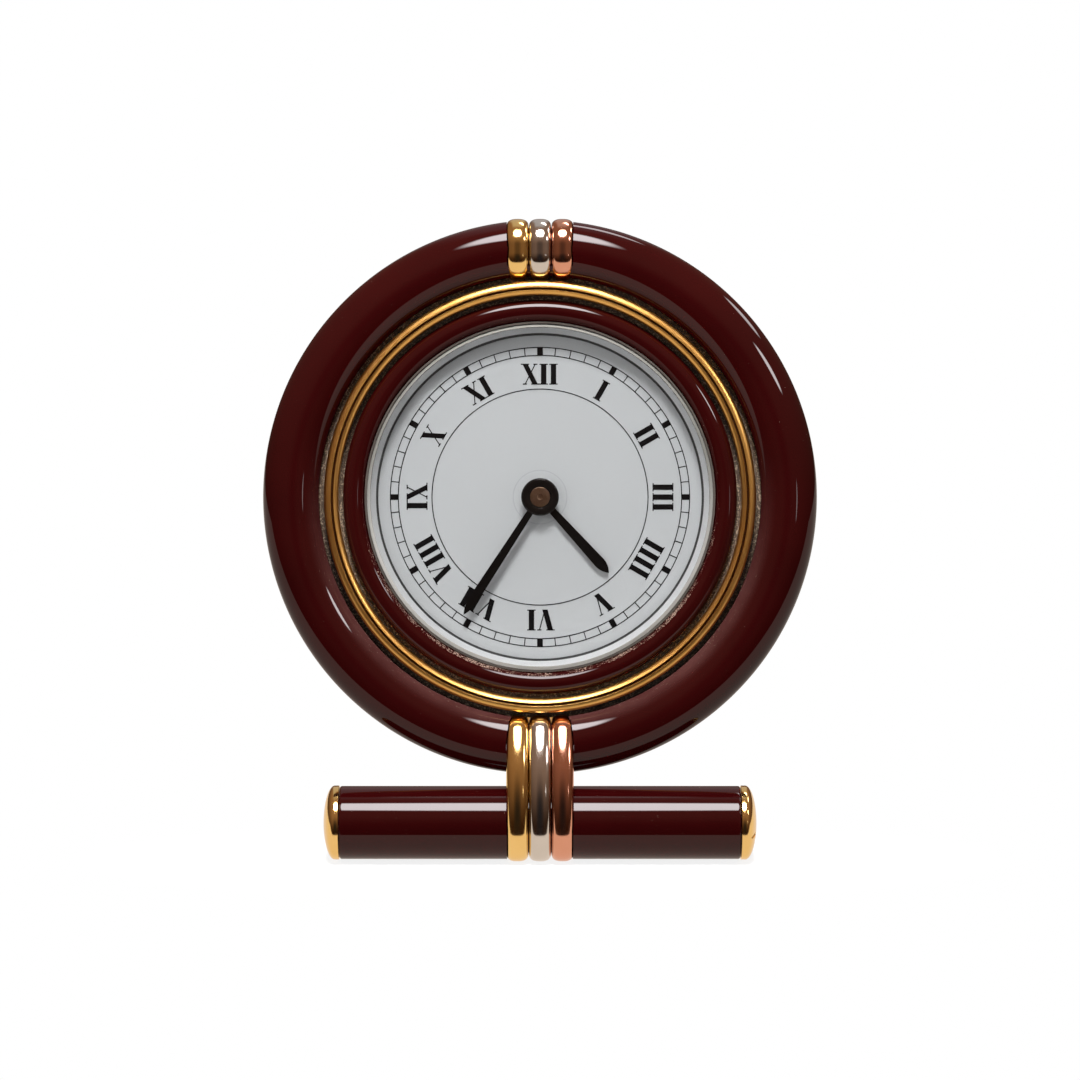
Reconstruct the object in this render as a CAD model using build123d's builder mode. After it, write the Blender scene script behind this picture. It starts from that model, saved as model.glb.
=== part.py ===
from build123d import *
import os
from math import asin, cos, degrees, radians, sin, sqrt

os.makedirs("parts", exist_ok=True)

# A small desk clock: a lacquered ring round a drum-shaped case, on a lacquered foot bar.
# The bar and a folding strut behind carry it, so the clock leans back a little.
# World: the origin is on the ground under the bar, +Z is up and the dial looks to -Y.
# Heights marked "level" are measured from the middle of the outer ring towards the front.

# The outer ring and how the clock stands
ring_outer_r = 37.0
ring_half_width = 3.9
ring_half_depth = 3.25
ring_flat = 0.3
bar_gap = 1.63
lean = 10.0
strut_open = 24.0

# Clearances
seat = 0.05
running = 0.08
gap = 0.1
overrun = 1.0

# The three straps at the top and the three round the bar
band_width = 2.85
band_spacing = 0.15
band_height = 1.15
band_proud = 0.2
hoop_stretch = 0.6
sole_flat = 0.1

# The foot bar
bar_r = 4.87
bar_length = 53.4
bar_strap_proud = 0.33
cap_proud = 0.07
cap_length = 2.2
cap_rim = 0.7
spigot_r = 3.8
spigot_length = 4.0
tie_rod_r = 1.45
tie_rod_play = 0.15

# The saddle between ring and bar, and its two screws
saddle_margin = 0.225
saddle_screw_pitch = 4.4
saddle_screw_r = 0.7
saddle_screw_head_r = 1.4
saddle_screw_head = 0.9
saddle_screw_grip = 2.2

# The case drum and the bezel on it
collar_level = -0.25
collar_depth = 0.95
case_gap = 1.2
case_wall = 1.0
shelf_thickness = 0.8
shelf_reach = 0.2
bezel_gap = 0.7
bezel_width = 1.91
outer_bead_r = 0.5
outer_bead_height = 2.45
inner_bead_r = 0.38
inner_bead_height = 2.0

# The lacquered inner ring, the crystal and its gasket
inner_ring_gap = 0.59
inner_ring_width = 2.85
inner_ring_height = 1.75
inner_ring_crown = 1.15
gasket_thickness = 0.35
crystal_height = 1.15
crystal_chamfer = 0.45
gasket_below = 0.15

# The dial and what is printed on it
dial_thickness = 0.4
flange_lip = 0.25
flange_slope = 0.95
flange_foot = 0.12
ink = 0.03
track_margin = 2.65
track_width = 1.2
track_line = 0.13
track_block = 0.77
minutes = 60
hours = 12
chapter_margin = 4.45
numeral_margin = 0.6
numeral_height = 2.8
stem_width = 0.72
hairline = 0.15
serif_reach = 0.2
stem_pitch = 1.32
wide_pitch = 2.3
cross_spread = 0.7
vee_spread = 0.75

# The hands, at the time that they show
hours_shown = 4
past_hour_share = 0.5917
hour_hand_short = 0.75
hour_hand_root = 0.85
hour_hand_width = 1.5
minute_hand_short = 0.15
minute_hand_root = 0.82
minute_hand_width = 1.3
hand_thickness = 0.2
hand_shoulder_share = 0.87
hand_tip_bulge_share = 0.12
hour_hand_lift = 0.7
minute_hand_lift = 0.95
hour_boss = 0.5
bush_thickness = 0.3
bush_headroom = 0.3
bush_rim = 1.18
sleeve_wall = 0.38
sleeve_foot_gap = 0.2
nut_r = 1.35
nut_sink = 0.07
nut_dimple_r = 0.35
nut_shank_r = 0.5
nut_shank_length = 1.2

# The wheel train. Each pair of wheels shares a module.
motion_module = 0.25
hour_module = 0.24
centre_module = 0.18
rotor_module = 0.16
cannon_teeth = 12
minute_wheel_teeth = 36
minute_pinion_teeth = 10
hour_wheel_teeth = 40
centre_wheel_teeth = 72
intermediate_pinion_teeth = 8
intermediate_wheel_teeth = 60
rotor_pinion_teeth = 6
wheel_thickness = 0.4
pinion_thickness = 0.6
hour_pinion_length = 0.9
tooth_addendum_share = 0.9
tooth_dedendum_share = 1.2
tooth_root_share = 0.6
tooth_pitch_share = 0.43
tooth_tip_share = 0.2

# Bearings on the dial from each wheel to the next, and the gaps between them in depth
minute_wheel_bearing = 120.0
stem_bearing = 90.0
intermediate_bearing = 200.0
rotor_bearing = 250.0
hour_wheel_gap = 0.2
centre_wheel_gap = 0.7
intermediate_wheel_gap = 0.6
magnet_gap = 0.35

# The arbors
arbor_r = 1.2
pipe_wall = 0.6
dial_play = 0.3
arbor_lower_r = 0.7
pivot_r = 0.35
stud_r = 0.5
pivot_depth = 0.5

# The plastic movement housing, its cover and the ring that holds it
housing_spare = 0.2
housing_wall = 0.8
cover_gap = 0.25
cover_thickness = 0.8
screw_boss_r = 1.2
movement_screw_r = 0.6
movement_screw_bearings = (75.0, 195.0, 315.0)
movement_screw_head_r = 1.0
movement_screw_head = 0.35

# The motor
magnet_r = 1.5
magnet_thickness = 0.6
stator_thickness = 0.3
stator_air = 0.3
stator_rim = 1.2
stator_arm = 2.4
coil_drop = 7.076
coil_length = 13.0
coil_r = 2.0
core_r = 0.7
core_overhang = 1.7
bobbin_edge = 0.2
bobbin_wall = 0.15
bobbin_flange = 0.6
bobbin_gap = 0.3

# The circuit board and the quartz can on it
board_x = -12.2
board_y = 6.0
board_width = 6.0
board_height = 8.0
board_thickness = 0.5
quartz_r = 1.0
quartz_length = 6.0

# The button cell with its contacts, and the hatch over it
cell_bearing = 25.0
cell_gap = 0.558
cell_r = 5.8
cell_height = 3.1
cell_button_edge = 1.0
cell_button = 0.3
contact_thickness = 0.3
contact_width = 4.0
well_gap = 0.4
hatch_edge = 0.42
hatch_plug_edge = 0.1
hatch_plug_gap = 0.25
lug_reach = 0.43
lug_width = 3.0
lug_thickness = 0.3
hatch_turn = 45.0
coin_slot_width = 1.3
coin_slot_length = 9.0
coin_slot_depth = 0.45

# The back cover with its screws
back_gap = 0.5
back_thickness = 0.8
back_chamfer = 0.3
back_screw_r = 0.8
back_screw_bearing = 45.0
back_screw_count = 4
back_screw_head_r = 1.5
back_screw_head = 0.4
back_screw_length = 4.0
slot_share = 0.25

# The setting stem and knob
stem_r = 0.8
knob_r = 4.0
knob_thickness = 2.2
knob_gap = 0.3
knob_grooves = 24
knob_groove_r = 0.25

# The strut with its bracket and pin
hinge_y = -4.0
hinge_back = 2.2
bracket_base = 0.6
bracket_above = 4.5
bracket_below = 2.2
ear_thickness = 1.2
ear_r = 1.8
pin_r = 0.7
barrel_wall = 0.6
strut_thickness = 1.6
strut_top_width = 9.0
strut_foot_width = 7.6
bracket_screw_r = 0.6
bracket_screw_head_r = 1.2
bracket_screw_head = 0.4
bracket_screw_pitch = 7.0
bracket_screw_above = 3.0

# The ring's section and what fits inside its bore, from the outside in
ring_crown_r = ring_outer_r - ring_half_width
ring_bore_r = ring_crown_r - ring_half_width + ring_flat
collar_r = ring_bore_r - seat
case_r = ring_bore_r - case_gap
case_wall_r = case_r - case_wall
bezel_outer_r = ring_bore_r - bezel_gap
bezel_inner_r = bezel_outer_r - bezel_width
inner_ring_r = bezel_inner_r - inner_ring_gap
inner_ring_bore_r = inner_ring_r - inner_ring_width
crystal_r = inner_ring_bore_r - gasket_thickness
shelf_bore_r = crystal_r - shelf_reach
dial_r = shelf_bore_r - gap
flange_top_r = shelf_bore_r - flange_lip
flange_foot_r = flange_top_r - flange_slope
track_outer_r = dial_r - track_margin
track_inner_r = track_outer_r - track_width
chapter_r = track_inner_r - chapter_margin
numeral_foot_r = chapter_r + numeral_margin

# The straps' spacing, the bar below the ring, and how high the bar's axis lies
band_pitch = band_width + band_spacing
channel_half = band_pitch + band_width / 2 + gap
saddle_width = band_pitch * 2 + band_width - saddle_margin * 2
bar_drop = ring_outer_r + bar_gap + bar_r
bar_strap_r = bar_r + bar_strap_proud
bar_bore_r = tie_rod_r + tie_rod_play
sole_r = bar_strap_r - sole_flat

# Levels in front of the case collar
outer_bead_level = collar_level + outer_bead_height
inner_bead_level = collar_level + inner_bead_height
inner_ring_level = collar_level + inner_ring_height
crystal_level = collar_level + crystal_height
gasket_level = crystal_level - gasket_below

# Levels behind the crystal: the hands, the dial and the wheels, down to the back cover
bush_level = collar_level - bush_headroom
minute_hand_level = bush_level - bush_thickness
hour_hand_level = minute_hand_level - minute_hand_lift
dial_level = hour_hand_level - hour_hand_lift
nut_level = bush_level - nut_sink
bush_sleeve_end = hour_hand_level + sleeve_foot_gap
housing_level = dial_level - dial_thickness - gap
hour_wheel_level = housing_level - housing_wall - hour_wheel_gap
minute_wheel_level = hour_wheel_level - hour_pinion_length
cannon_level = minute_wheel_level + (pinion_thickness - wheel_thickness) / 2
arbor_step_level = cannon_level + hour_wheel_gap
centre_wheel_level = minute_wheel_level - wheel_thickness - centre_wheel_gap
intermediate_wheel_level = centre_wheel_level - wheel_thickness - intermediate_wheel_gap
rotor_pinion_level = intermediate_wheel_level + (pinion_thickness - wheel_thickness) / 2
magnet_level = intermediate_wheel_level - wheel_thickness - magnet_gap
stator_level = magnet_level - (magnet_thickness - stator_thickness) / 2
cover_level = magnet_level - magnet_thickness - cover_gap
cover_back_level = cover_level - cover_thickness
cell_back_level = cover_level + gap
cell_level = cell_back_level + cell_height
hatch_plug_level = cell_back_level - hatch_plug_gap
board_level = cover_level + gap + board_thickness
case_back_level = cover_back_level - back_gap
back_level = case_back_level - back_thickness
holder_front_level = collar_level - shelf_thickness - seat

# What turns on the arbor, from the inside out, and the hands' lengths
pipe_r = arbor_r + pipe_wall
dial_bore_r = pipe_r + dial_play
hour_boss_r = pipe_r + hour_boss
bush_sleeve_r = arbor_r + sleeve_wall
bush_r = nut_r + bush_rim
minute_turn = past_hour_share * 360
hour_turn = (hours_shown + past_hour_share) / hours * 360
minute_hand_length = track_inner_r - minute_hand_short
hour_hand_length = chapter_r - hour_hand_short

# The cell beside the centre wheel, and the housing that is just large enough for it
cell_button_r = cell_r - cell_button_edge
well_r = cell_r + well_gap
hatch_r = well_r + hatch_edge
hatch_plug_r = cell_r + hatch_plug_edge
lug_r = hatch_r + lug_reach
cell_place_r = centre_module * (centre_wheel_teeth / 2 + tooth_addendum_share) + cell_gap + cell_r
housing_r = cell_place_r + well_r + housing_wall + housing_spare
holder_r = case_wall_r - gap
movement_screw_place_r = housing_r - screw_boss_r - movement_screw_r
back_screw_place_r = (housing_r + holder_r) / 2

# The motor's parts round the rotor and the coil
stator_bore_r = magnet_r + stator_air
stator_eye_r = stator_bore_r + stator_rim
bobbin_r = coil_r + bobbin_edge
core_end = coil_length / 2 + core_overhang
coil_level = cover_level + bobbin_r + bobbin_gap
barrel_r = pin_r + barrel_wall

# Planes. The face plane has x to the right, y up the dial and z to the front.
right = Vector(1, 0, 0)
face = Plane(
    origin=(0, bar_drop * sin(radians(lean)), sole_r + bar_drop * cos(radians(lean))),
    x_dir=right,
    z_dir=(0, -cos(radians(lean)), sin(radians(lean))),
)
dial_axis = Axis(face.origin, face.z_dir)
# The section plane has x along a radius and y to the front.
section = Plane(origin=face.origin, x_dir=right, z_dir=-face.y_dir)
# The side plane has x to the front and y up.
side = Plane(origin=face.origin, x_dir=face.z_dir, z_dir=-right)


def polar(radius, bearing):
    """A point on the face, from its distance to the centre and its bearing from the right."""
    return (radius * cos(radians(bearing)), radius * sin(radians(bearing)))


def beyond(start, radius, bearing):
    """A point at a distance and bearing from another one."""
    step = polar(radius, bearing)
    return (start[0] + step[0], start[1] + step[1])


def on_dial(turn, across, out):
    """A point on the face for a figure that stands at a clock angle, feet to the centre."""
    angle = radians(turn)
    return (
        across * cos(angle) + out * sin(angle),
        out * cos(angle) - across * sin(angle),
    )


def layer(front_level, rear_level, outer_r, inner_r=0, at=(0, 0), mode=Mode.ADD):
    """A round plate or washer between two levels, added to the part being built."""
    with BuildSketch(face.offset(rear_level)) as washer:
        with Locations(at):
            Circle(outer_r)
            if inner_r:
                Circle(inner_r, mode=Mode.SUBTRACT)
    extrude(washer.sketch, amount=front_level - rear_level, mode=mode)


def write(part, name):
    part.label = name
    export_step(part, "parts/" + name + ".step")


# The wheels' centres, each one mesh away from the wheel that it turns with
motion_distance = motion_module * (cannon_teeth + minute_wheel_teeth) / 2
centre_distance = centre_module * (centre_wheel_teeth + intermediate_pinion_teeth) / 2
rotor_distance = rotor_module * (intermediate_wheel_teeth + rotor_pinion_teeth) / 2
centre = (0, 0)
minute_wheel_at = polar(motion_distance, minute_wheel_bearing)
stem_at = beyond(minute_wheel_at, motion_distance, stem_bearing)
intermediate_at = polar(centre_distance, intermediate_bearing)
rotor_at = beyond(intermediate_at, rotor_distance, rotor_bearing)
coil_y = rotor_at[1] - coil_drop
cell_at = polar(cell_place_r, cell_bearing)


def mesh_turn(turn, teeth, bearing, mate_teeth):
    """The angle of a mate's tooth, so that its gap meets the tooth of the first wheel."""
    return bearing + 180 - (turn - bearing) * teeth / mate_teeth + 180 / mate_teeth


cannon_turn = minute_wheel_bearing
minute_wheel_turn = mesh_turn(
    cannon_turn, cannon_teeth, minute_wheel_bearing, minute_wheel_teeth
)
stem_turn = mesh_turn(minute_wheel_turn, minute_wheel_teeth, stem_bearing, cannon_teeth)
minute_pinion_turn = minute_wheel_bearing + 180
hour_wheel_turn = mesh_turn(
    minute_pinion_turn, minute_pinion_teeth, minute_wheel_bearing + 180, hour_wheel_teeth
)
centre_wheel_turn = intermediate_bearing
intermediate_pinion_turn = mesh_turn(
    centre_wheel_turn, centre_wheel_teeth, intermediate_bearing, intermediate_pinion_teeth
)
intermediate_wheel_turn = rotor_bearing
rotor_pinion_turn = mesh_turn(
    intermediate_wheel_turn, intermediate_wheel_teeth, rotor_bearing, rotor_pinion_teeth
)


def gear(front_level, thickness, module, teeth, turn, bore_r, at=(0, 0)):
    """A spur wheel with straight-flanked teeth, added to the part being built."""
    pitch_r = module * teeth / 2
    tip_r = pitch_r + module * tooth_addendum_share
    root_r = pitch_r - module * tooth_dedendum_share
    pitch_angle = 360 / teeth
    points = []
    for tooth in range(teeth):
        middle = turn + tooth * pitch_angle
        root_half = pitch_angle * tooth_root_share / 2
        pitch_half = pitch_angle * tooth_pitch_share / 2
        tip_half = pitch_angle * tooth_tip_share / 2
        points.append(beyond(at, root_r, middle - root_half))
        points.append(beyond(at, pitch_r, middle - pitch_half))
        points.append(beyond(at, tip_r, middle - tip_half))
        points.append(beyond(at, tip_r, middle + tip_half))
        points.append(beyond(at, pitch_r, middle + pitch_half))
        points.append(beyond(at, root_r, middle + root_half))
    with BuildSketch(face.offset(front_level - thickness)) as toothed:
        with BuildLine():
            Polyline(*points, close=True)
        make_face()
        if bore_r:
            with Locations(at):
                Circle(bore_r, mode=Mode.SUBTRACT)
    extrude(toothed.sketch, amount=thickness)


def strap_outline(low_y, low_r, high_y, high_r):
    """A closed loop round two circles, in the side plane, starting up its front run."""
    tilt = asin((low_r - high_r) / (high_y - low_y))
    low_x, low_up = low_r * cos(tilt), low_y + low_r * sin(tilt)
    high_x, high_up = high_r * cos(tilt), high_y + high_r * sin(tilt)
    Line((low_x, low_up), (high_x, high_up))
    CenterArc((0, high_y), high_r, degrees(tilt), 180 - 2 * degrees(tilt))
    Line((-high_x, high_up), (-low_x, low_up))
    CenterArc((0, low_y), low_r, 180 - degrees(tilt), 180 + 2 * degrees(tilt))


# The straps' inner faces, as circles on the side plane
strap_ring_r = ring_half_depth + band_proud - band_height
hoop_low_y = ring_crown_r - hoop_stretch
hoop_high_y = ring_crown_r + hoop_stretch
tie_high_y = -hoop_low_y
strap_bar_r = bar_strap_r - band_height


def channel_tool(top):
    """What a channel takes away: all round the strap's inner face, as wide as the channel."""
    reach = bar_strap_r + overrun
    top_y = ring_outer_r + overrun if top else overrun - ring_bore_r
    low_y = ring_bore_r - overrun if top else -bar_drop - reach
    with BuildPart(mode=Mode.PRIVATE) as tool:
        with BuildSketch(side):
            with BuildLine():
                Polyline(
                    (-reach, low_y), (reach, low_y), (reach, top_y), (-reach, top_y), close=True
                )
            make_face()
        extrude(amount=channel_half, both=True)
        with BuildSketch(side):
            with BuildLine():
                if top:
                    strap_outline(
                        hoop_low_y, strap_ring_r - seat, hoop_high_y, strap_ring_r - seat
                    )
                else:
                    strap_outline(
                        -bar_drop, strap_bar_r - seat, tie_high_y, strap_ring_r - seat
                    )
            make_face()
        extrude(amount=channel_half + overrun, both=True, mode=Mode.SUBTRACT)
    return tool.part


top_channel = channel_tool(True)
bottom_channel = channel_tool(False)

# The saddle screws' heads are sunk until the straps clear them
screw_head_y = tie_high_y + sqrt((strap_ring_r - seat) ** 2 - saddle_screw_head_r**2)
screw_plane = Plane(
    origin=face.origin + face.y_dir * screw_head_y, x_dir=right, z_dir=-face.y_dir
)
screw_end_y = -bar_drop + bar_r - saddle_screw_grip

# The outer ring: a lacquered brass ring of oval section, flat on the side that holds the case
with BuildPart() as outer_ring:
    with BuildSketch(section):
        with Locations((ring_crown_r, 0)):
            Ellipse(ring_half_width, ring_half_depth)
        Rectangle(
            ring_bore_r,
            ring_half_depth * 2,
            align=(Align.MIN, Align.CENTER),
            mode=Mode.SUBTRACT,
        )
    revolve(axis=dial_axis)
    add(top_channel, mode=Mode.SUBTRACT)
    add(bottom_channel, mode=Mode.SUBTRACT)
    # Two screws come from the ring's bore, under the straps, into the saddle and the bar
    with BuildSketch(screw_plane):
        with GridLocations(saddle_screw_pitch, 0, 2, 1):
            Circle(saddle_screw_r + seat)
    extrude(amount=bar_drop, mode=Mode.SUBTRACT)
    with BuildSketch(screw_plane.offset(-overrun)):
        with GridLocations(saddle_screw_pitch, 0, 2, 1):
            Circle(saddle_screw_head_r + seat)
    extrude(amount=saddle_screw_head + overrun, mode=Mode.SUBTRACT)
write(outer_ring.part, "outer_ring")

# The foot bar: a lacquered barrel, bored for the tie rod and counterbored for its caps
with BuildPart() as foot_bar:
    with BuildSketch(side):
        with Locations((0, -bar_drop)):
            Circle(bar_r)
            Circle(bar_bore_r, mode=Mode.SUBTRACT)
    extrude(amount=bar_length / 2, both=True)
    for end in (-1, 1):
        with BuildSketch(side.offset(end * bar_length / 2)):
            with Locations((0, -bar_drop)):
                Circle(spigot_r + seat)
        extrude(amount=-end * (spigot_length + seat), mode=Mode.SUBTRACT)
    add(bottom_channel, mode=Mode.SUBTRACT)
    with BuildSketch(
        Plane(origin=face.origin + face.y_dir * screw_end_y, x_dir=right, z_dir=face.y_dir)
    ):
        with GridLocations(saddle_screw_pitch, 0, 2, 1):
            Circle(saddle_screw_r + seat)
    extrude(amount=bar_drop, mode=Mode.SUBTRACT)
write(foot_bar.part, "foot_bar")

# The saddle: a block hollowed to sit between the ring and the bar, inside the straps
with BuildPart() as bar_saddle:
    with BuildSketch(side):
        with BuildLine():
            strap_outline(-bar_drop, strap_bar_r - seat, tie_high_y, strap_ring_r - seat)
        make_face()
        with Locations((0, -bar_drop)):
            Circle(bar_r + seat, mode=Mode.SUBTRACT)
            Rectangle(
                bar_r * 2 + overrun,
                bar_r * 2 + overrun,
                align=(Align.CENTER, Align.MAX),
                mode=Mode.SUBTRACT,
            )
        with Locations((0, -ring_crown_r)):
            Rectangle(
                ring_half_depth * 2 + overrun,
                bar_drop,
                align=(Align.CENTER, Align.MIN),
                mode=Mode.SUBTRACT,
            )
    extrude(amount=saddle_width / 2, both=True)
    with BuildSketch(section):
        with Locations((ring_crown_r, 0)):
            Ellipse(ring_half_width + seat, ring_half_depth + seat)
    revolve(axis=dial_axis, mode=Mode.SUBTRACT)
    with BuildSketch(screw_plane):
        with GridLocations(saddle_screw_pitch, 0, 2, 1):
            Circle(saddle_screw_r + seat)
    extrude(amount=bar_drop, mode=Mode.SUBTRACT)
write(bar_saddle.part, "bar_saddle")

# The two saddle screws, with slotted heads sunk in the ring
with BuildPart() as saddle_screws:
    screw_head_plane = screw_plane.offset(seat)
    with BuildSketch(screw_head_plane):
        with GridLocations(saddle_screw_pitch, 0, 2, 1):
            Circle(saddle_screw_head_r)
    extrude(amount=saddle_screw_head - seat)
    with BuildSketch(screw_head_plane):
        with GridLocations(saddle_screw_pitch, 0, 2, 1):
            Circle(saddle_screw_r)
    extrude(amount=screw_head_y - screw_end_y - seat * 2)
    with BuildSketch(screw_head_plane):
        with GridLocations(saddle_screw_pitch, 0, 2, 1):
            Rectangle(saddle_screw_head_r * 2, saddle_screw_head_r * 2 * slot_share)
    extrude(amount=saddle_screw_head / 2, mode=Mode.SUBTRACT)
write(saddle_screws.part, "saddle_screws")


def strap(low_y, low_r, high_y, high_r, place):
    """A half-round strap closed round two circles, at one of the three places across."""
    with BuildPart(mode=Mode.PRIVATE) as loop:
        with BuildLine(side.offset(-place)) as run:
            strap_outline(low_y, low_r, high_y, high_r)
        path = run.wires()[0]
        start = run.edges()[0]
        along = start % 0
        with BuildSketch(Plane(origin=start @ 0, x_dir=right.cross(along), z_dir=along)):
            with BuildLine():
                ThreePointArc((0, -band_width / 2), (band_height, 0), (0, band_width / 2))
                Line((0, band_width / 2), (0, -band_width / 2))
            make_face()
        sweep(path=path)
    return loop.part


# The three hoops at the top, round the ring's section
for name, place in (("yellow", -band_pitch), ("white", 0), ("rose", band_pitch)):
    with BuildPart() as top_band:
        add(strap(hoop_low_y, strap_ring_r, hoop_high_y, strap_ring_r, place))
    write(top_band.part, "top_band_" + name)

# The three straps at the bottom, each round the ring and the bar, ground flat to stand on
for name, place in (("yellow", -band_pitch), ("white", 0), ("rose", band_pitch)):
    with BuildPart() as bottom_band:
        add(strap(-bar_drop, strap_bar_r, tie_high_y, strap_ring_r, place))
        split(bisect_by=Plane.XY, keep=Keep.TOP)
    write(bottom_band.part, "bottom_band_" + name)

# The two domed caps of the bar, each with a spigot that the tie rod screws into
for name, end in (("left", -1), ("right", 1)):
    bar_end = face.origin - face.y_dir * bar_drop + right * (end * bar_length / 2)
    with BuildPart() as end_cap:
        with BuildSketch(Plane(origin=bar_end, x_dir=right * end, z_dir=face.z_dir * end)):
            cap_r = bar_r + cap_proud
            with BuildLine():
                Line((seat, 0), (seat, cap_r))
                Line((seat, cap_r), (cap_rim, cap_r))
                EllipticalCenterArc((cap_rim, 0), cap_length - cap_rim, cap_r, 0, arc_size=90)
                Line((cap_length, 0), (seat, 0))
            make_face()
            Rectangle(spigot_length, spigot_r, align=(Align.MAX, Align.MIN))
            Rectangle(seat, spigot_r, align=(Align.MIN, Align.MIN))
            Rectangle(
                spigot_length,
                tie_rod_r + seat,
                align=(Align.MAX, Align.MIN),
                mode=Mode.SUBTRACT,
            )
        revolve(axis=Axis(bar_end, right))
    write(end_cap.part, "end_cap_" + name)

# The tie rod that draws the caps onto the bar
with BuildPart() as tie_rod:
    with BuildSketch(side):
        with Locations((0, -bar_drop)):
            Circle(tie_rod_r)
    extrude(amount=bar_length / 2 - seat, both=True)
write(tie_rod.part, "tie_rod")

# The case body: a brass drum with a shelf inside and a collar that seats in the ring
with BuildPart() as case_body:
    layer(collar_level, case_back_level, case_r, case_wall_r)
    layer(collar_level, collar_level - shelf_thickness, case_r, shelf_bore_r)
    layer(collar_level, collar_level - collar_depth, collar_r, case_r - seat)
    for up in (-1, 1):
        with BuildSketch(face.offset(collar_level)):
            with Locations((0, up * (bezel_outer_r + seat))):
                Rectangle(
                    channel_half * 2,
                    ring_bore_r,
                    align=(Align.CENTER, Align.MIN if up > 0 else Align.MAX),
                )
        extrude(amount=-collar_depth, mode=Mode.SUBTRACT)
write(case_body.part, "case_body")

# The bezel: a turned brass ring with a thick outer bead and a thin inner one
with BuildPart() as bezel:
    with BuildSketch(section):
        outer_bead_at = (bezel_outer_r - outer_bead_r, outer_bead_level - outer_bead_r)
        inner_bead_at = (bezel_inner_r + inner_bead_r, inner_bead_level - inner_bead_r)
        with Locations((bezel_inner_r, collar_level)):
            Rectangle(
                bezel_outer_r - bezel_inner_r,
                inner_bead_at[1] - collar_level,
                align=(Align.MIN, Align.MIN),
            )
        with Locations((bezel_outer_r, collar_level)):
            Rectangle(
                outer_bead_r * 2,
                outer_bead_at[1] - collar_level,
                align=(Align.MAX, Align.MIN),
            )
        with Locations(outer_bead_at):
            Circle(outer_bead_r)
        with Locations(inner_bead_at):
            Circle(inner_bead_r)
    revolve(axis=dial_axis)
write(bezel.part, "bezel")

# The inner ring, lacquered like the outer one, with a half-round front
with BuildPart() as inner_ring:
    with BuildSketch(section):
        inner_ring_shoulder = inner_ring_level - inner_ring_crown
        inner_ring_middle = (inner_ring_bore_r + inner_ring_width / 2, inner_ring_shoulder)
        with Locations(inner_ring_middle):
            Ellipse(inner_ring_width / 2, inner_ring_crown)
            Rectangle(
                inner_ring_width,
                inner_ring_crown + overrun,
                align=(Align.CENTER, Align.MAX),
                mode=Mode.SUBTRACT,
            )
            Rectangle(
                inner_ring_width,
                inner_ring_shoulder - collar_level,
                align=(Align.CENTER, Align.MAX),
            )
    revolve(axis=dial_axis)
write(inner_ring.part, "inner_ring")

# The crystal, with a polished chamfer round its front edge
with BuildPart() as crystal:
    layer(crystal_level, collar_level, crystal_r)
    chamfer(crystal.faces().sort_by(dial_axis)[-1].edges(), crystal_chamfer)
write(crystal.part, "crystal")

# The gasket that grips the crystal in the inner ring
with BuildPart() as crystal_gasket:
    layer(gasket_level, collar_level, inner_ring_bore_r - seat, crystal_r + seat)
write(crystal_gasket.part, "crystal_gasket")

# The dial flange: a pale cone between the crystal and the dial
with BuildPart() as dial_flange:
    with BuildSketch(section):
        flange_top_level = collar_level - seat
        flange_outer_r = shelf_bore_r - seat
        with BuildLine():
            Polyline(
                (flange_outer_r, flange_top_level),
                (flange_top_r, flange_top_level),
                (flange_foot_r, dial_level + flange_foot),
                (flange_foot_r, dial_level),
                (flange_outer_r, dial_level),
                close=True,
            )
        make_face()
    revolve(axis=dial_axis)
write(dial_flange.part, "dial_flange")

# The dial, a thin plate with a hole for the hour pipe
with BuildPart() as dial:
    layer(dial_level, dial_level - dial_thickness, dial_r, dial_bore_r)
write(dial.part, "dial")

# The minute track: two printed rings with a line at each minute and a block at each hour
with BuildPart() as dial_track:
    track_middle_r = (track_outer_r + track_inner_r) / 2
    layer(dial_level + ink, dial_level, track_outer_r, track_outer_r - track_line)
    layer(dial_level + ink, dial_level, track_inner_r + track_line, track_inner_r)
    layer(
        dial_level + ink,
        dial_level,
        chapter_r + track_line / 2,
        chapter_r - track_line / 2,
    )
    with BuildSketch(face.offset(dial_level)):
        with PolarLocations(track_middle_r, minutes, start_angle=90):
            Rectangle(track_width - track_line, track_line)
        with PolarLocations(track_middle_r, hours, start_angle=90):
            Rectangle(track_width - track_line, track_block)
    extrude(amount=ink)
write(dial_track.part, "dial_track")


def stroke(turn, low, high, width):
    """One stroke of a numeral, level at both ends, from its foot to its top."""
    low_x, low_y = low
    high_x, high_y = high
    with BuildLine() as outline:
        Polyline(
            on_dial(turn, low_x - width / 2, numeral_foot_r + low_y),
            on_dial(turn, low_x + width / 2, numeral_foot_r + low_y),
            on_dial(turn, high_x + width / 2, numeral_foot_r + high_y),
            on_dial(turn, high_x - width / 2, numeral_foot_r + high_y),
            close=True,
        )
    make_face(outline.edges())


def serif(turn, middle, width, at_top):
    """The short level line that ends a stroke."""
    low_y = numeral_height - hairline if at_top else 0
    stroke(turn, (middle, low_y), (middle, low_y + hairline), width + serif_reach * 2)


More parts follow.
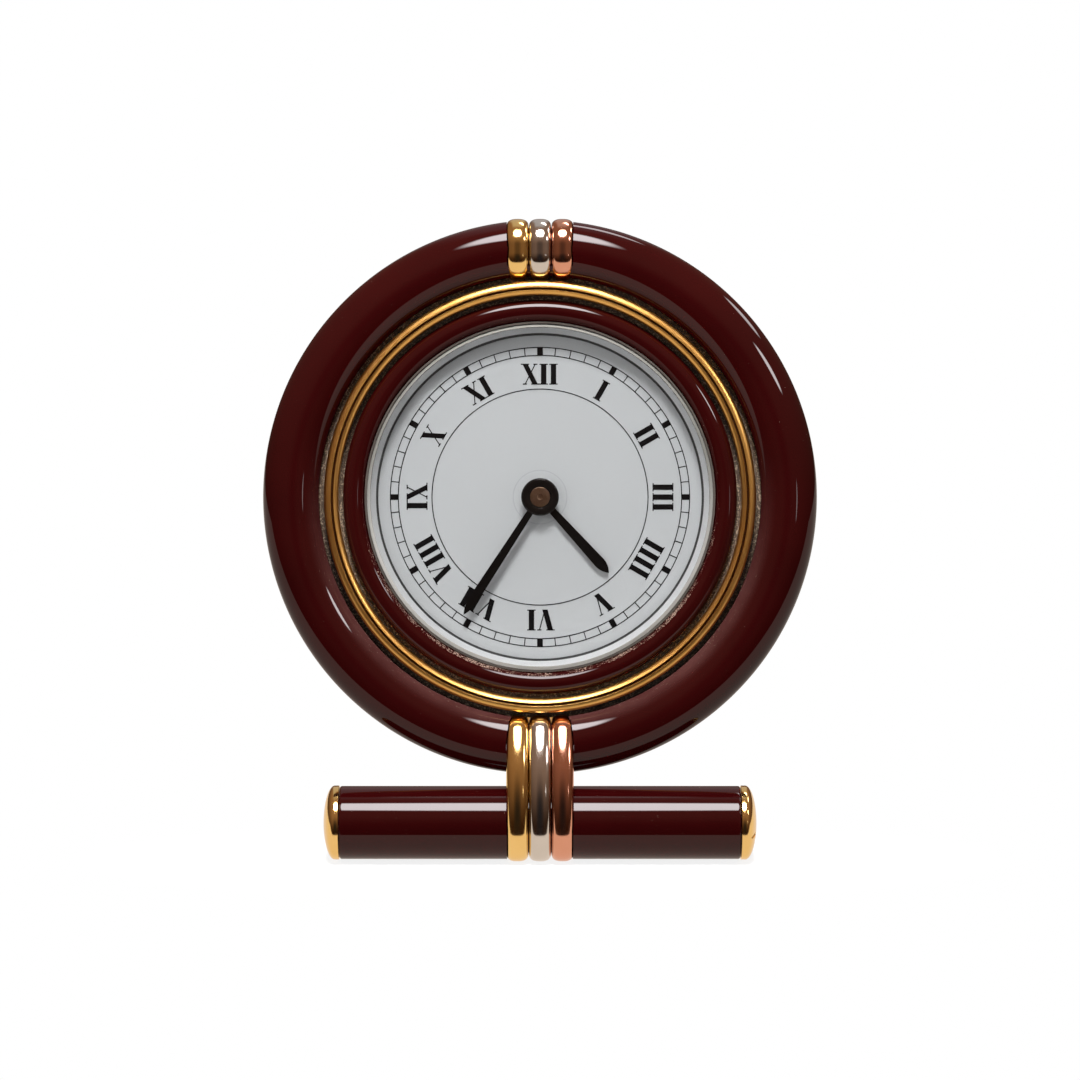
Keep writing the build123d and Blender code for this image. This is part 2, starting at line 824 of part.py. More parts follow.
def letter(turn, kind, x):
    """One letter of a numeral, centred at x and standing at its clock angle."""
    if kind == "I":
        stroke(turn, (x, 0), (x, numeral_height), stem_width)
        serif(turn, x, stem_width, False)
        serif(turn, x, stem_width, True)
    if kind == "V":
        stroke(turn, (x, 0), (x - vee_spread, numeral_height), stem_width)
        stroke(turn, (x, 0), (x + vee_spread, numeral_height), hairline)
        serif(turn, x - vee_spread, stem_width, True)
        serif(turn, x + vee_spread, hairline, True)
    if kind == "X":
        stroke(turn, (x + cross_spread, 0), (x - cross_spread, numeral_height), stem_width)
        stroke(turn, (x - cross_spread, 0), (x + cross_spread, numeral_height), hairline)
        for spread in (-cross_spread, cross_spread):
            thick_foot = stem_width if spread > 0 else hairline
            thick_top = hairline if spread > 0 else stem_width
            serif(turn, x + spread, thick_foot, False)
            serif(turn, x + spread, thick_top, True)


# The printed numerals, one for each hour, feet to the centre
numerals = ("XII", "I", "II", "III", "IIII", "V", "VI", "VII", "VIII", "IX", "X", "XI")
with BuildPart() as dial_numerals:
    with BuildSketch(face.offset(dial_level)):
        for hour, text in enumerate(numerals):
            widths = [stem_pitch if kind == "I" else wide_pitch for kind in text]
            edge = -sum(widths) / 2
            for kind, width in zip(text, widths):
                letter(hour * 360 / hours, kind, edge + width / 2)
                edge = edge + width
    extrude(amount=ink)
write(dial_numerals.part, "dial_numerals")


def blade(turn, length, root_width, width):
    """A hand's outline: widening from its boss to a shoulder, then a bowed point."""
    shoulder = length * hand_shoulder_share
    middle = (shoulder + length) / 2
    bow = width / 4 + width * hand_tip_bulge_share
    Line(on_dial(turn, -root_width / 2, 0), on_dial(turn, -width / 2, shoulder))
    ThreePointArc(
        on_dial(turn, -width / 2, shoulder), on_dial(turn, -bow, middle), on_dial(turn, 0, length)
    )
    ThreePointArc(
        on_dial(turn, 0, length), on_dial(turn, bow, middle), on_dial(turn, width / 2, shoulder)
    )
    Line(on_dial(turn, width / 2, shoulder), on_dial(turn, root_width / 2, 0))
    Line(on_dial(turn, root_width / 2, 0), on_dial(turn, -root_width / 2, 0))


# The hour hand, pressed on the hour pipe
with BuildPart() as hour_hand:
    with BuildSketch(face.offset(hour_hand_level - hand_thickness)):
        with BuildLine():
            blade(hour_turn, hour_hand_length, hour_hand_root, hour_hand_width)
        make_face()
        Circle(hour_boss_r)
        Circle(pipe_r + seat / 2, mode=Mode.SUBTRACT)
    extrude(amount=hand_thickness)
write(hour_hand.part, "hour_hand")

# The minute hand, riveted on its bush
with BuildPart() as minute_hand:
    with BuildSketch(face.offset(minute_hand_level - hand_thickness)):
        with BuildLine():
            blade(minute_turn, minute_hand_length, minute_hand_root, minute_hand_width)
        make_face()
        Circle(bush_r - seat)
        Circle(bush_sleeve_r + seat / 2, mode=Mode.SUBTRACT)
    extrude(amount=hand_thickness)
write(minute_hand.part, "minute_hand")

# The minute hand's bush: a black collar with a sleeve on the arbor and a dished front
arbor_front_level = minute_hand_level
with BuildPart() as minute_hand_bush:
    layer(bush_level, minute_hand_level, bush_r)
    layer(minute_hand_level, bush_sleeve_end, bush_sleeve_r)
    fillet(
        minute_hand_bush.faces().sort_by(dial_axis)[-1].edges(),
        (bush_level - minute_hand_level) / 3,
    )
    layer(bush_level, minute_hand_level, nut_r + running, mode=Mode.SUBTRACT)
    layer(minute_hand_level, bush_sleeve_end, arbor_r + seat / 2, mode=Mode.SUBTRACT)
write(minute_hand_bush.part, "minute_hand_bush")

# The hand nut: a small brass screw with a dimple, in the arbor's end
with BuildPart() as hand_nut:
    layer(nut_level, arbor_front_level + seat / 2, nut_r)
    layer(arbor_front_level + seat / 2, arbor_front_level - nut_shank_length, nut_shank_r)
    with BuildSketch(section):
        with BuildLine():
            Polyline(
                (0, nut_level),
                (nut_dimple_r, nut_level),
                (0, nut_level - nut_dimple_r / 2),
                close=True,
            )
        make_face()
    revolve(axis=dial_axis, mode=Mode.SUBTRACT)
write(hand_nut.part, "hand_nut")

# The minute arbor: it runs in the hour pipe and, at the back, in the movement cover
pivot_end_level = cover_level - pivot_depth
with BuildPart() as minute_arbor:
    layer(arbor_front_level, arbor_step_level, arbor_r)
    layer(arbor_step_level, cover_level + seat, arbor_lower_r)
    layer(cover_level + seat, pivot_end_level, pivot_r)
    layer(
        arbor_front_level,
        arbor_front_level - nut_shank_length - seat,
        nut_shank_r + seat / 2,
        mode=Mode.SUBTRACT,
    )
write(minute_arbor.part, "minute_arbor")

# The cannon pinion and the centre wheel, both pressed on the minute arbor
with BuildPart() as cannon_pinion:
    gear(
        cannon_level,
        pinion_thickness,
        motion_module,
        cannon_teeth,
        cannon_turn,
        arbor_lower_r + seat / 2,
    )
write(cannon_pinion.part, "cannon_pinion")

with BuildPart() as centre_wheel:
    gear(
        centre_wheel_level,
        wheel_thickness,
        centre_module,
        centre_wheel_teeth,
        centre_wheel_turn,
        arbor_lower_r + seat / 2,
    )
write(centre_wheel.part, "centre_wheel")

# The hour wheel, with the pipe that carries the hour hand
with BuildPart() as hour_wheel:
    gear(
        hour_wheel_level,
        wheel_thickness,
        hour_module,
        hour_wheel_teeth,
        hour_wheel_turn,
        0,
    )
    layer(hour_hand_level, hour_wheel_level, pipe_r)
    layer(
        hour_hand_level,
        hour_wheel_level - wheel_thickness,
        arbor_r + running,
        mode=Mode.SUBTRACT,
    )
write(hour_wheel.part, "hour_wheel")

# The minute wheel with its pinion, turning on a stud of the housing
with BuildPart() as minute_wheel:
    gear(
        minute_wheel_level,
        wheel_thickness,
        motion_module,
        minute_wheel_teeth,
        minute_wheel_turn,
        0,
        minute_wheel_at,
    )
    gear(
        hour_wheel_level,
        hour_wheel_level - minute_wheel_level,
        hour_module,
        minute_pinion_teeth,
        minute_pinion_turn,
        0,
        minute_wheel_at,
    )
    layer(
        hour_wheel_level,
        minute_wheel_level - wheel_thickness,
        stud_r + running,
        at=minute_wheel_at,
        mode=Mode.SUBTRACT,
    )
write(minute_wheel.part, "minute_wheel")

# The intermediate wheel, pressed on its pinion, whose arbor runs in housing and cover
front_pivot_level = housing_level - housing_wall + pivot_depth
with BuildPart() as intermediate_pinion:
    gear(
        centre_wheel_level + (pinion_thickness - wheel_thickness) / 2,
        pinion_thickness,
        centre_module,
        intermediate_pinion_teeth,
        intermediate_pinion_turn,
        0,
        intermediate_at,
    )
    layer(
        housing_level - housing_wall - seat,
        cover_level + seat,
        stud_r,
        at=intermediate_at,
    )
    layer(front_pivot_level, pivot_end_level, pivot_r, at=intermediate_at)
write(intermediate_pinion.part, "intermediate_pinion")

with BuildPart() as intermediate_wheel:
    gear(
        intermediate_wheel_level,
        wheel_thickness,
        rotor_module,
        intermediate_wheel_teeth,
        intermediate_wheel_turn,
        stud_r + seat / 2,
        intermediate_at,
    )
write(intermediate_wheel.part, "intermediate_wheel")

# The rotor: a small pinion on a long arbor, with a disc magnet pressed on it
with BuildPart() as rotor_pinion:
    gear(
        rotor_pinion_level,
        pinion_thickness,
        rotor_module,
        rotor_pinion_teeth,
        rotor_pinion_turn,
        0,
        rotor_at,
    )
    layer(front_pivot_level, pivot_end_level, pivot_r / 2, at=rotor_at)
write(rotor_pinion.part, "rotor_pinion")

with BuildPart() as rotor_magnet:
    layer(
        magnet_level,
        magnet_level - magnet_thickness,
        magnet_r,
        pivot_r / 2 + seat / 2,
        at=rotor_at,
    )
write(rotor_magnet.part, "rotor_magnet")

# The stator: a soft-iron plate round the magnet, with an arm to each end of the coil
with BuildPart() as stator:
    with BuildSketch(face.offset(stator_level - stator_thickness)):
        arm_top = rotor_at[1] + stator_arm / 2
        arm_foot = coil_y - core_r
        with Locations(rotor_at):
            Circle(stator_eye_r)
        with Locations((rotor_at[0], arm_top)):
            Rectangle(
                core_end - rotor_at[0] + stator_arm / 2,
                stator_arm,
                align=(Align.MIN, Align.MAX),
            )
        for end in (-1, 1):
            with Locations((end * core_end, arm_top)):
                Rectangle(stator_arm, arm_top - arm_foot, align=(Align.CENTER, Align.MAX))
        with Locations(rotor_at):
            Circle(stator_bore_r, mode=Mode.SUBTRACT)
    extrude(amount=stator_thickness)
write(stator.part, "stator")

# The coil: an iron core with a foot at each end, a bobbin on it and the winding
coil_plane = Plane(
    origin=face.origin + face.y_dir * coil_y + face.z_dir * coil_level,
    x_dir=face.z_dir,
    z_dir=-right,
)
with BuildPart() as coil_core:
    with BuildSketch(coil_plane):
        Rectangle(core_r * 2, core_r * 2)
    extrude(amount=core_end + core_r, both=True)
    with BuildSketch(face.offset(coil_level + core_r)):
        for end in (-1, 1):
            with Locations((end * core_end, coil_y)):
                Rectangle(core_r * 2, core_r * 2)
    extrude(amount=stator_level - coil_level - core_r)
write(coil_core.part, "coil_core")

core_corner_r = sqrt(core_r**2 + core_r**2)
with BuildPart() as coil_bobbin:
    with BuildSketch(coil_plane):
        Circle(core_corner_r + seat + bobbin_wall)
    extrude(amount=coil_length / 2, both=True)
    for end in (-1, 1):
        with BuildSketch(coil_plane.offset(end * (coil_length / 2 - bobbin_flange))):
            Circle(bobbin_r)
        extrude(amount=end * bobbin_flange)
    with BuildSketch(coil_plane):
        Rectangle(core_r * 2 + seat, core_r * 2 + seat)
    extrude(amount=coil_length, both=True, mode=Mode.SUBTRACT)
write(coil_bobbin.part, "coil_bobbin")

with BuildPart() as coil_winding:
    with BuildSketch(coil_plane):
        Circle(coil_r)
        Circle(core_corner_r + seat * 2 + bobbin_wall, mode=Mode.SUBTRACT)
    extrude(amount=coil_length / 2 - bobbin_flange - seat, both=True)
write(coil_winding.part, "coil_winding")

# The circuit board against the movement cover, and the quartz can on it
with BuildPart() as circuit_board:
    with BuildSketch(face.offset(board_level - board_thickness)):
        with Locations((board_x, board_y)):
            RectangleRounded(board_width, board_height, board_width / 8)
    extrude(amount=board_thickness)
write(circuit_board.part, "circuit_board")

quartz_plane = Plane(
    origin=face.origin
    + right * (board_x - quartz_r)
    + face.y_dir * (board_y - quartz_length / 2)
    + face.z_dir * (board_level + quartz_r + seat),
    x_dir=right,
    z_dir=face.y_dir,
)
with BuildPart() as quartz_can:
    with BuildSketch(quartz_plane):
        Circle(quartz_r)
    extrude(amount=quartz_length)
    can_top = quartz_can.faces().sort_by(Axis(face.origin, face.y_dir))[-1]
    fillet(can_top.edges(), quartz_r / 3)
write(quartz_can.part, "quartz_can")

# The button cell, its button to the front
with BuildPart() as button_cell:
    layer(cell_level, cell_back_level, cell_r, at=cell_at)
    layer(cell_level + cell_button, cell_level, cell_button_r, at=cell_at)
write(button_cell.part, "button_cell")

# The cell's contacts: a flat spring on the well's floor and a strip at its side
negative_level = cell_level + cell_button + contact_thickness
with BuildPart() as negative_contact:
    with BuildSketch(face.offset(cell_level + cell_button + seat)):
        with Locations(cell_at):
            SlotOverall(cell_button_r * 2, contact_width, rotation=90)
    extrude(amount=contact_thickness - seat)
write(negative_contact.part, "negative_contact")

with BuildPart() as positive_contact:
    with BuildSketch(face.offset(cell_back_level)):
        with Locations((cell_at[0], cell_at[1] - cell_r - seat)):
            Rectangle(contact_width, contact_thickness, align=(Align.CENTER, Align.MAX))
    extrude(amount=housing_level - housing_wall - seat - cell_back_level)
write(positive_contact.part, "positive_contact")

# The movement housing: a plastic cup with a stud, pivots, screw bosses and the cell's floor
with BuildPart() as movement_housing:
    housing_floor_level = housing_level - housing_wall
    layer(housing_level, cover_level, housing_r)
    layer(housing_floor_level, cover_level, housing_r - housing_wall, mode=Mode.SUBTRACT)
    layer(
        housing_floor_level,
        minute_wheel_level - wheel_thickness - seat,
        stud_r,
        at=minute_wheel_at,
    )
    layer(housing_floor_level, negative_level + seat, cell_button_r, at=cell_at)
    for bearing in movement_screw_bearings:
        boss_at = polar(movement_screw_place_r, bearing)
        layer(housing_floor_level, cover_level, screw_boss_r, at=boss_at)
        layer(
            housing_floor_level - housing_wall,
            cover_level,
            movement_screw_r + seat,
            at=boss_at,
            mode=Mode.SUBTRACT,
        )
    layer(housing_level, housing_floor_level, pipe_r + running, mode=Mode.SUBTRACT)
    for pivot_at, radius in ((intermediate_at, pivot_r), (rotor_at, pivot_r / 2)):
        layer(
            front_pivot_level + seat,
            housing_floor_level,
            radius + running,
            at=pivot_at,
            mode=Mode.SUBTRACT,
        )
    layer(
        front_pivot_level + seat,
        housing_floor_level,
        pivot_r + running,
        at=stem_at,
        mode=Mode.SUBTRACT,
    )
write(movement_housing.part, "movement_housing")

# The movement cover, with holes for the pivots, the stem and the cell
with BuildPart() as movement_cover:
    layer(cover_level - seat, cover_back_level, housing_r)
    for hole_at, radius in (
        (centre, pivot_r + running),
        (intermediate_at, pivot_r + running),
        (rotor_at, pivot_r / 2 + running),
        (stem_at, stem_r + running),
        (cell_at, well_r),
    ):
        layer(cover_level, cover_back_level, radius, at=hole_at, mode=Mode.SUBTRACT)
    for bearing in movement_screw_bearings:
        layer(
            cover_level,
            cover_back_level,
            movement_screw_r + seat,
            at=polar(movement_screw_place_r, bearing),
            mode=Mode.SUBTRACT,
        )
write(movement_cover.part, "movement_cover")


def slotted_screws(places, seat_level, shank_end_level, shank_r, head_r, head):
    """Cheese-head screws put in from the back, added to the part being built."""
    for place in places:
        layer(shank_end_level, seat_level, shank_r, at=place)
        layer(seat_level, seat_level - head, head_r, at=place)
    with BuildSketch(face.offset(seat_level - head)) as slots:
        with Locations(*places):
            Rectangle(head_r * 2, head_r * 2 * slot_share)
    extrude(slots.sketch, amount=head / 2, mode=Mode.SUBTRACT)


# The three screws that close the movement
with BuildPart() as movement_screws:
    slotted_screws(
        [polar(movement_screw_place_r, bearing) for bearing in movement_screw_bearings],
        cover_back_level,
        housing_level - housing_wall * 2 - seat,
        movement_screw_r,
        movement_screw_head_r,
        movement_screw_head,
    )
write(movement_screws.part, "movement_screws")

# The ring that holds dial and movement in the case
back_screws_at = [
    polar(back_screw_place_r, back_screw_bearing + 360 / back_screw_count * number)
    for number in range(back_screw_count)
]
with BuildPart() as movement_holder:
    holder_seat_level = dial_level - dial_thickness
    layer(holder_front_level, case_back_level + seat, holder_r, housing_r + seat)
    layer(holder_front_level, holder_seat_level, shelf_bore_r, mode=Mode.SUBTRACT)
    for place in back_screws_at:
        layer(
            case_back_level + back_screw_length,
            case_back_level,
            back_screw_r + seat,
            at=place,
            mode=Mode.SUBTRACT,
        )
write(movement_holder.part, "movement_holder")

# The back cover, with its openings for the cell and the stem
with BuildPart() as back_cover:
    layer(case_back_level - seat, back_level, case_r)
    chamfer(back_cover.faces().sort_by(dial_axis)[0].edges(), back_chamfer)
    layer(case_back_level, back_level, stem_r + knob_gap, at=stem_at, mode=Mode.SUBTRACT)
    layer(case_back_level, back_level, hatch_r + running, at=cell_at, mode=Mode.SUBTRACT)
    with BuildSketch(face.offset(back_level)):
        with Locations(Location((cell_at[0], cell_at[1], 0), (0, 0, hatch_turn))):
            Rectangle((lug_r + knob_gap) * 2, lug_width + knob_gap * 2)
    extrude(amount=back_thickness, mode=Mode.SUBTRACT)
    for place in back_screws_at:
        layer(
            case_back_level, back_level, back_screw_r + seat, at=place, mode=Mode.SUBTRACT
        )
    for end in (-1, 1):
        layer(
            case_back_level,
            back_level,
            bracket_screw_r + seat,
            at=(end * bracket_screw_pitch / 2, hinge_y + bracket_screw_above),
            mode=Mode.SUBTRACT,
        )
write(back_cover.part, "back_cover")

# The four screws of the back cover
with BuildPart() as back_screws:
    slotted_screws(
        back_screws_at,
        back_level,
        case_back_level + back_screw_length - seat,
        back_screw_r,
        back_screw_head_r,
        back_screw_head,
    )
write(back_screws.part, "back_screws")

# The battery hatch: a coin-slotted disc whose two lugs turn behind the cover
with BuildPart() as battery_hatch:
    layer(case_back_level, back_level, hatch_r, at=cell_at)
    layer(hatch_plug_level, case_back_level, hatch_plug_r, at=cell_at)
    with BuildSketch(face.offset(case_back_level + lug_thickness / 3)):
        with Locations(cell_at):
            Rectangle(lug_r * 2, lug_width)
            Circle(lug_r, mode=Mode.INTERSECT)
    extrude(amount=lug_thickness)
    with BuildSketch(face.offset(back_level)):
        with Locations(cell_at):
            SlotOverall(coin_slot_length, coin_slot_width)
    extrude(amount=coin_slot_depth, mode=Mode.SUBTRACT)
write(battery_hatch.part, "battery_hatch")

# The setting stem, with a pinion cut on it that meshes with the minute wheel
knob_level = back_level - knob_gap
with BuildPart() as setting_stem:
    gear(
        minute_wheel_level + (pinion_thickness - wheel_thickness) / 2,
        pinion_thickness,
        motion_module,
        cannon_teeth,
        stem_turn,
        0,
        stem_at,
    )
    layer(
        minute_wheel_level - wheel_thickness,
        knob_level - knob_thickness / 2,
        stem_r,
        at=stem_at,
    )
    layer(front_pivot_level, minute_wheel_level, pivot_r, at=stem_at)
write(setting_stem.part, "setting_stem")

# The setting knob, fluted round its edge
with BuildPart() as setting_knob:
    layer(knob_level, knob_level - knob_thickness, knob_r, at=stem_at)
    with BuildSketch(face.offset(knob_level - knob_thickness)):
        with Locations(stem_at):
            with PolarLocations(knob_r, knob_grooves):
                Circle(knob_groove_r)
    extrude(amount=knob_thickness, mode=Mode.SUBTRACT)
    layer(
        knob_level,
        knob_level - knob_thickness / 2 - seat,
        stem_r + seat / 2,
        at=stem_at,
        mode=Mode.SUBTRACT,
    )
write(setting_knob.part, "setting_knob")

# The hinge bracket on the back cover: a plate with two ears
ear_half = strut_top_width / 2 + running
hinge_point = (back_level - hinge_back, hinge_y)
base_level = back_level - bracket_base
with BuildPart() as hinge_bracket:
    with BuildSketch(face.offset(base_level)):
        with Locations((0, hinge_y - bracket_below)):
            Rectangle(
                (ear_half + ear_thickness) * 2,
                bracket_above + bracket_below,
                align=(Align.CENTER, Align.MIN),
            )
    extrude(amount=bracket_base)
    for end in (-1, 1):
        with BuildSketch(side.offset(-end * ear_half)):
            with Locations(hinge_point):
                Circle(ear_r)
                Rectangle(
                    hinge_back - bracket_base / 2,
                    ear_r * 2,
                    align=(Align.MIN, Align.CENTER),
                )
                Circle(pin_r + seat / 2, mode=Mode.SUBTRACT)
        extrude(amount=-end * ear_thickness)
    for end in (-1, 1):
        layer(
            back_level,
            base_level,
            bracket_screw_r + seat,
            at=(end * bracket_screw_pitch / 2, hinge_y + bracket_screw_above),
            mode=Mode.SUBTRACT,
        )
write(hinge_bracket.part, "hinge_bracket")

# The bracket's two screws
with BuildPart() as bracket_screws:
    slotted_screws(
        [
            (end * bracket_screw_pitch / 2, hinge_y + bracket_screw_above)
            for end in (-1, 1)
        ],
        base_level,
        case_back_level + seat,
        bracket_screw_r,
        bracket_screw_head_r,
        bracket_screw_head,
    )
write(bracket_screws.part, "bracket_screws")

# The hinge pin, held in the ears
with BuildPart() as hinge_pin:
    with BuildSketch(side):
        with Locations(hinge_point):
            Circle(pin_r)
    extrude(amount=ear_half + ear_thickness, both=True)
write(hinge_pin.part, "hinge_pin")

# The strut: a tapered leaf with a barrel on the pin. Its heel meets the bracket when it is
# open, and its foot is cut level with the ground.
hinge_centre = face.origin + face.y_dir * hinge_y + face.z_dir * (back_level - hinge_back)
leaf = Plane(
    origin=hinge_centre,
    x_dir=right,
    z_dir=face.z_dir * cos(radians(strut_open)) - face.y_dir * sin(radians(strut_open)),
)
strut_slope = radians(strut_open - lean)
strut_reach = hinge_centre.Z / cos(strut_slope) + strut_thickness
heel_room = hinge_back - bracket_base - gap
heel = (heel_room - strut_thickness / 2 * cos(radians(strut_open))) / sin(radians(strut_open))
with BuildPart() as strut:
    with BuildSketch(leaf.offset(-strut_thickness / 2)):
        with BuildLine():
            Polyline(
                (-strut_top_width / 2, heel),
                (strut_top_width / 2, heel),
                (strut_top_width / 2, -strut_top_width),
                (strut_foot_width / 2, -strut_reach),
                (-strut_foot_width / 2, -strut_reach),
                (-strut_top_width / 2, -strut_top_width),
                close=True,
            )
        make_face()
    extrude(amount=strut_thickness)
    with BuildSketch(Plane(origin=hinge_centre, z_dir=right)):
        Circle(barrel_r)
    extrude(amount=strut_top_width / 2, both=True)
    with BuildSketch(Plane(origin=hinge_centre, z_dir=right)):
        Circle(pin_r + running)
    extrude(amount=strut_top_width, both=True, mode=Mode.SUBTRACT)
    split(bisect_by=Plane.XY, keep=Keep.TOP)
write(strut.part, "strut")
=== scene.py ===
import math

import bpy
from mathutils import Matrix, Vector


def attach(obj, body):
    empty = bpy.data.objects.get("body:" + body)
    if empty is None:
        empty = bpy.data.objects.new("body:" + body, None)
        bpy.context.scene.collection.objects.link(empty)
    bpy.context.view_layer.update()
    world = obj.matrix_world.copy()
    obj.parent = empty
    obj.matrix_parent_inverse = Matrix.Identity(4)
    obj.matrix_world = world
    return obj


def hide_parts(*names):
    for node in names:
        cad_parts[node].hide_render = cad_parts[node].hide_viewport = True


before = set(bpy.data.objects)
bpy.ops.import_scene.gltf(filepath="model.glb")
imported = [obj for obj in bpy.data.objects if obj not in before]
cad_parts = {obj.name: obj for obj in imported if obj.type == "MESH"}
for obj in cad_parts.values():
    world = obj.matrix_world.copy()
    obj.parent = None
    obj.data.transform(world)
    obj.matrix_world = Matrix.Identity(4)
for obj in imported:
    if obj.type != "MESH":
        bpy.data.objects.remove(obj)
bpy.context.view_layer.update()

bpy.ops.object.select_all(action="DESELECT")
mm = 0.001


# The movement's shell: two mouldings of dark plastic that hold the wheels, and the wide ring
# round them that centres the movement in the case. The cover is held by three screws, and the
# whole movement is dropped in from the back.
class Shade:
    """A socket of a finish. Sums on it add Math nodes, and node() adds any other kind."""

    def __init__(self, tree, socket):
        self.tree = tree
        self.socket = socket

    def node(self, kind, settings, values, output=0):
        added = self.tree.nodes.new(kind)
        for name, setting in settings.items():
            setattr(added, name, setting)
        for name, value in values.items():
            if isinstance(value, Shade):
                self.tree.links.new(value.socket, added.inputs[name])
            else:
                added.inputs[name].default_value = value
        return Shade(self.tree, added.outputs[output])

    def maths(self, operation, first, second=0.0):
        return self.node("ShaderNodeMath", {"operation": operation}, {0: first, 1: second})

    def __add__(self, other):
        return self.maths("ADD", self, other)

    def __radd__(self, other):
        return self.maths("ADD", other, self)

    def __sub__(self, other):
        return self.maths("SUBTRACT", self, other)

    def __rsub__(self, other):
        return self.maths("SUBTRACT", other, self)

    def __mul__(self, other):
        return self.maths("MULTIPLY", self, other)

    def __truediv__(self, other):
        return self.maths("DIVIDE", self, other)

    def __pow__(self, other):
        return self.maths("POWER", self, other)

    def __gt__(self, other):
        return self.maths("GREATER_THAN", self, other)

    def __lt__(self, other):
        return self.maths("LESS_THAN", self, other)

    def __abs__(self):
        return self.maths("ABSOLUTE", self)

    def at_least(self, other):
        return self.maths("MAXIMUM", self, other)

    def into(self, shader, socket):
        self.tree.links.new(self.socket, shader.inputs[socket])


def new_finish(name, even):
    """A finish with its even properties set, its shader, and the place on the object."""
    finish = bpy.data.materials.new(name)
    finish.use_nodes = True
    tree = finish.node_tree
    shader = tree.nodes["Principled BSDF"]
    for socket, value in even.items():
        shader.inputs[socket].default_value = value
    position = tree.nodes.new("ShaderNodeTexCoord")
    return finish, shader, Shade(tree, position.outputs["Object"])


def noise(place, size, detail=3.0, rough=0.55):
    """Cloudy noise whose patches are about as wide as size."""
    return place.node(
        "ShaderNodeTexNoise",
        {},
        {"Vector": place, "Scale": 1.0 / size, "Detail": detail, "Roughness": rough},
    )


def tint(mask, low, high):
    """The colour low where the mask is 0 and high where it is 1."""
    low, high = [end if isinstance(end, Shade) else (*end, 1.0) for end in (low, high)]
    return mask.node(
        "ShaderNodeMix", {"data_type": "RGBA"}, {"Factor": mask, 6: low, 7: high}, output=2
    )


def eased(value, start, end, low=0.0, high=1.0):
    """Goes smoothly from low to high while the value goes from start to end."""
    return value.node(
        "ShaderNodeMapRange",
        {"interpolation_type": "SMOOTHSTEP", "clamp": True},
        {"Value": value, "From Min": start, "From Max": end, "To Min": low, "To Max": high},
    )


def relief(height, depth, strength=1.0):
    """A bump as deep as depth where the height goes from 0 to 1."""
    return height.node(
        "ShaderNodeBump", {}, {"Height": height, "Distance": depth, "Strength": strength}
    )


def moulded(name, dark, light, roughness, grain):
    """Moulded plastic: slightly cloudy, with the mould's fine texture."""
    finish, shader, place = new_finish(name, {"Specular IOR Level": 0.5})
    cloud = noise(place, 6.0 * mm)
    tint(cloud, dark, light).into(shader, "Base Color")
    texture = noise(place, grain, detail=2.0)
    (roughness + texture * 0.15).into(shader, "Roughness")
    relief(texture, 0.02 * mm, 0.5).into(shader, "Normal")
    return finish


def put_on(finish, *nodes):
    """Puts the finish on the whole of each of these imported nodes."""
    for node in nodes:
        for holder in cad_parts[node].material_slots:
            holder.material = finish


movement_plastic = moulded(
    "movement_plastic", (0.022, 0.022, 0.024), (0.035, 0.035, 0.037), 0.42, 0.12 * mm
)
holder_plastic = moulded(
    "holder_plastic", (0.3, 0.29, 0.27), (0.36, 0.35, 0.33), 0.4, 0.15 * mm
)
put_on(movement_plastic, "movement_housing", "movement_cover")
put_on(holder_plastic, "movement_holder")


# The wheels: cream nylon gears moulded on their pinions. Each runs on a pivot between the
# movement's two shells. The small coil bobbin is moulded too, in dark brown.
wheel_nylon = moulded(
    "wheel_nylon", (0.62, 0.58, 0.48), (0.72, 0.69, 0.6), 0.28, 0.06 * mm
)
bobbin_plastic = moulded(
    "bobbin_plastic", (0.06, 0.018, 0.012), (0.09, 0.03, 0.02), 0.35, 0.08 * mm
)
put_on(wheel_nylon, "centre_wheel", "minute_wheel", "hour_wheel")
put_on(wheel_nylon, "intermediate_wheel", "intermediate_pinion", "rotor_pinion")
put_on(bobbin_plastic, "coil_bobbin")


# The steel parts: turned arbors and screws, the hinge pin, and the cans of the cell and the
# quartz. They are bright, with fine marks from turning. The stator and the coil's core are
# soft iron and dull.
def metal(name, dark, light, roughness, streak, sheen=0.08):
    """Bare or plated metal, with the marks of its tool stretched along one direction."""
    finish, shader, place = new_finish(name, {"Metallic": 1.0})
    stretched = place.node("ShaderNodeMapping", {}, {"Vector": place, "Scale": streak})
    marks = noise(stretched, 0.08 * mm, detail=2.0)
    cloud = noise(place, 3.0 * mm)
    tint(cloud, dark, light).into(shader, "Base Color")
    (roughness + marks * sheen + cloud * sheen).into(shader, "Roughness")
    relief(marks, 0.002 * mm, 0.4).into(shader, "Normal")
    return finish


bright_steel = metal(
    "bright_steel", (0.42, 0.42, 0.43), (0.55, 0.55, 0.55), 0.18, (1.0, 0.15, 1.0)
)
dull_iron = metal(
    "dull_iron", (0.2, 0.2, 0.21), (0.3, 0.3, 0.3), 0.42, (0.2, 1.0, 1.0)
)
cell_steel = metal(
    "cell_steel", (0.5, 0.5, 0.5), (0.62, 0.61, 0.59), 0.25, (0.3, 1.0, 1.0)
)
put_on(bright_steel, "minute_arbor", "tie_rod", "hinge_pin", "saddle_screws", "back_screws")
put_on(bright_steel, "bracket_screws", "movement_screws", "setting_stem", "quartz_can")
put_on(dull_iron, "stator", "coil_core")
put_on(cell_steel, "button_cell")


# The rotor's magnet: a sintered disc, dark grey and a little grainy. It turns in the stator's
# eye, together with the rotor's pinion.
sintered, shader, place = new_finish("sintered_magnet", {"Metallic": 0.6})
grains = noise(place, 0.15 * mm, detail=2.0)
tint(grains, (0.03, 0.03, 0.033), (0.08, 0.08, 0.085)).into(shader, "Base Color")
(0.5 + grains * 0.2).into(shader, "Roughness")
relief(grains, 0.01 * mm, 0.6).into(shader, "Normal")
put_on(sintered, "rotor_magnet")


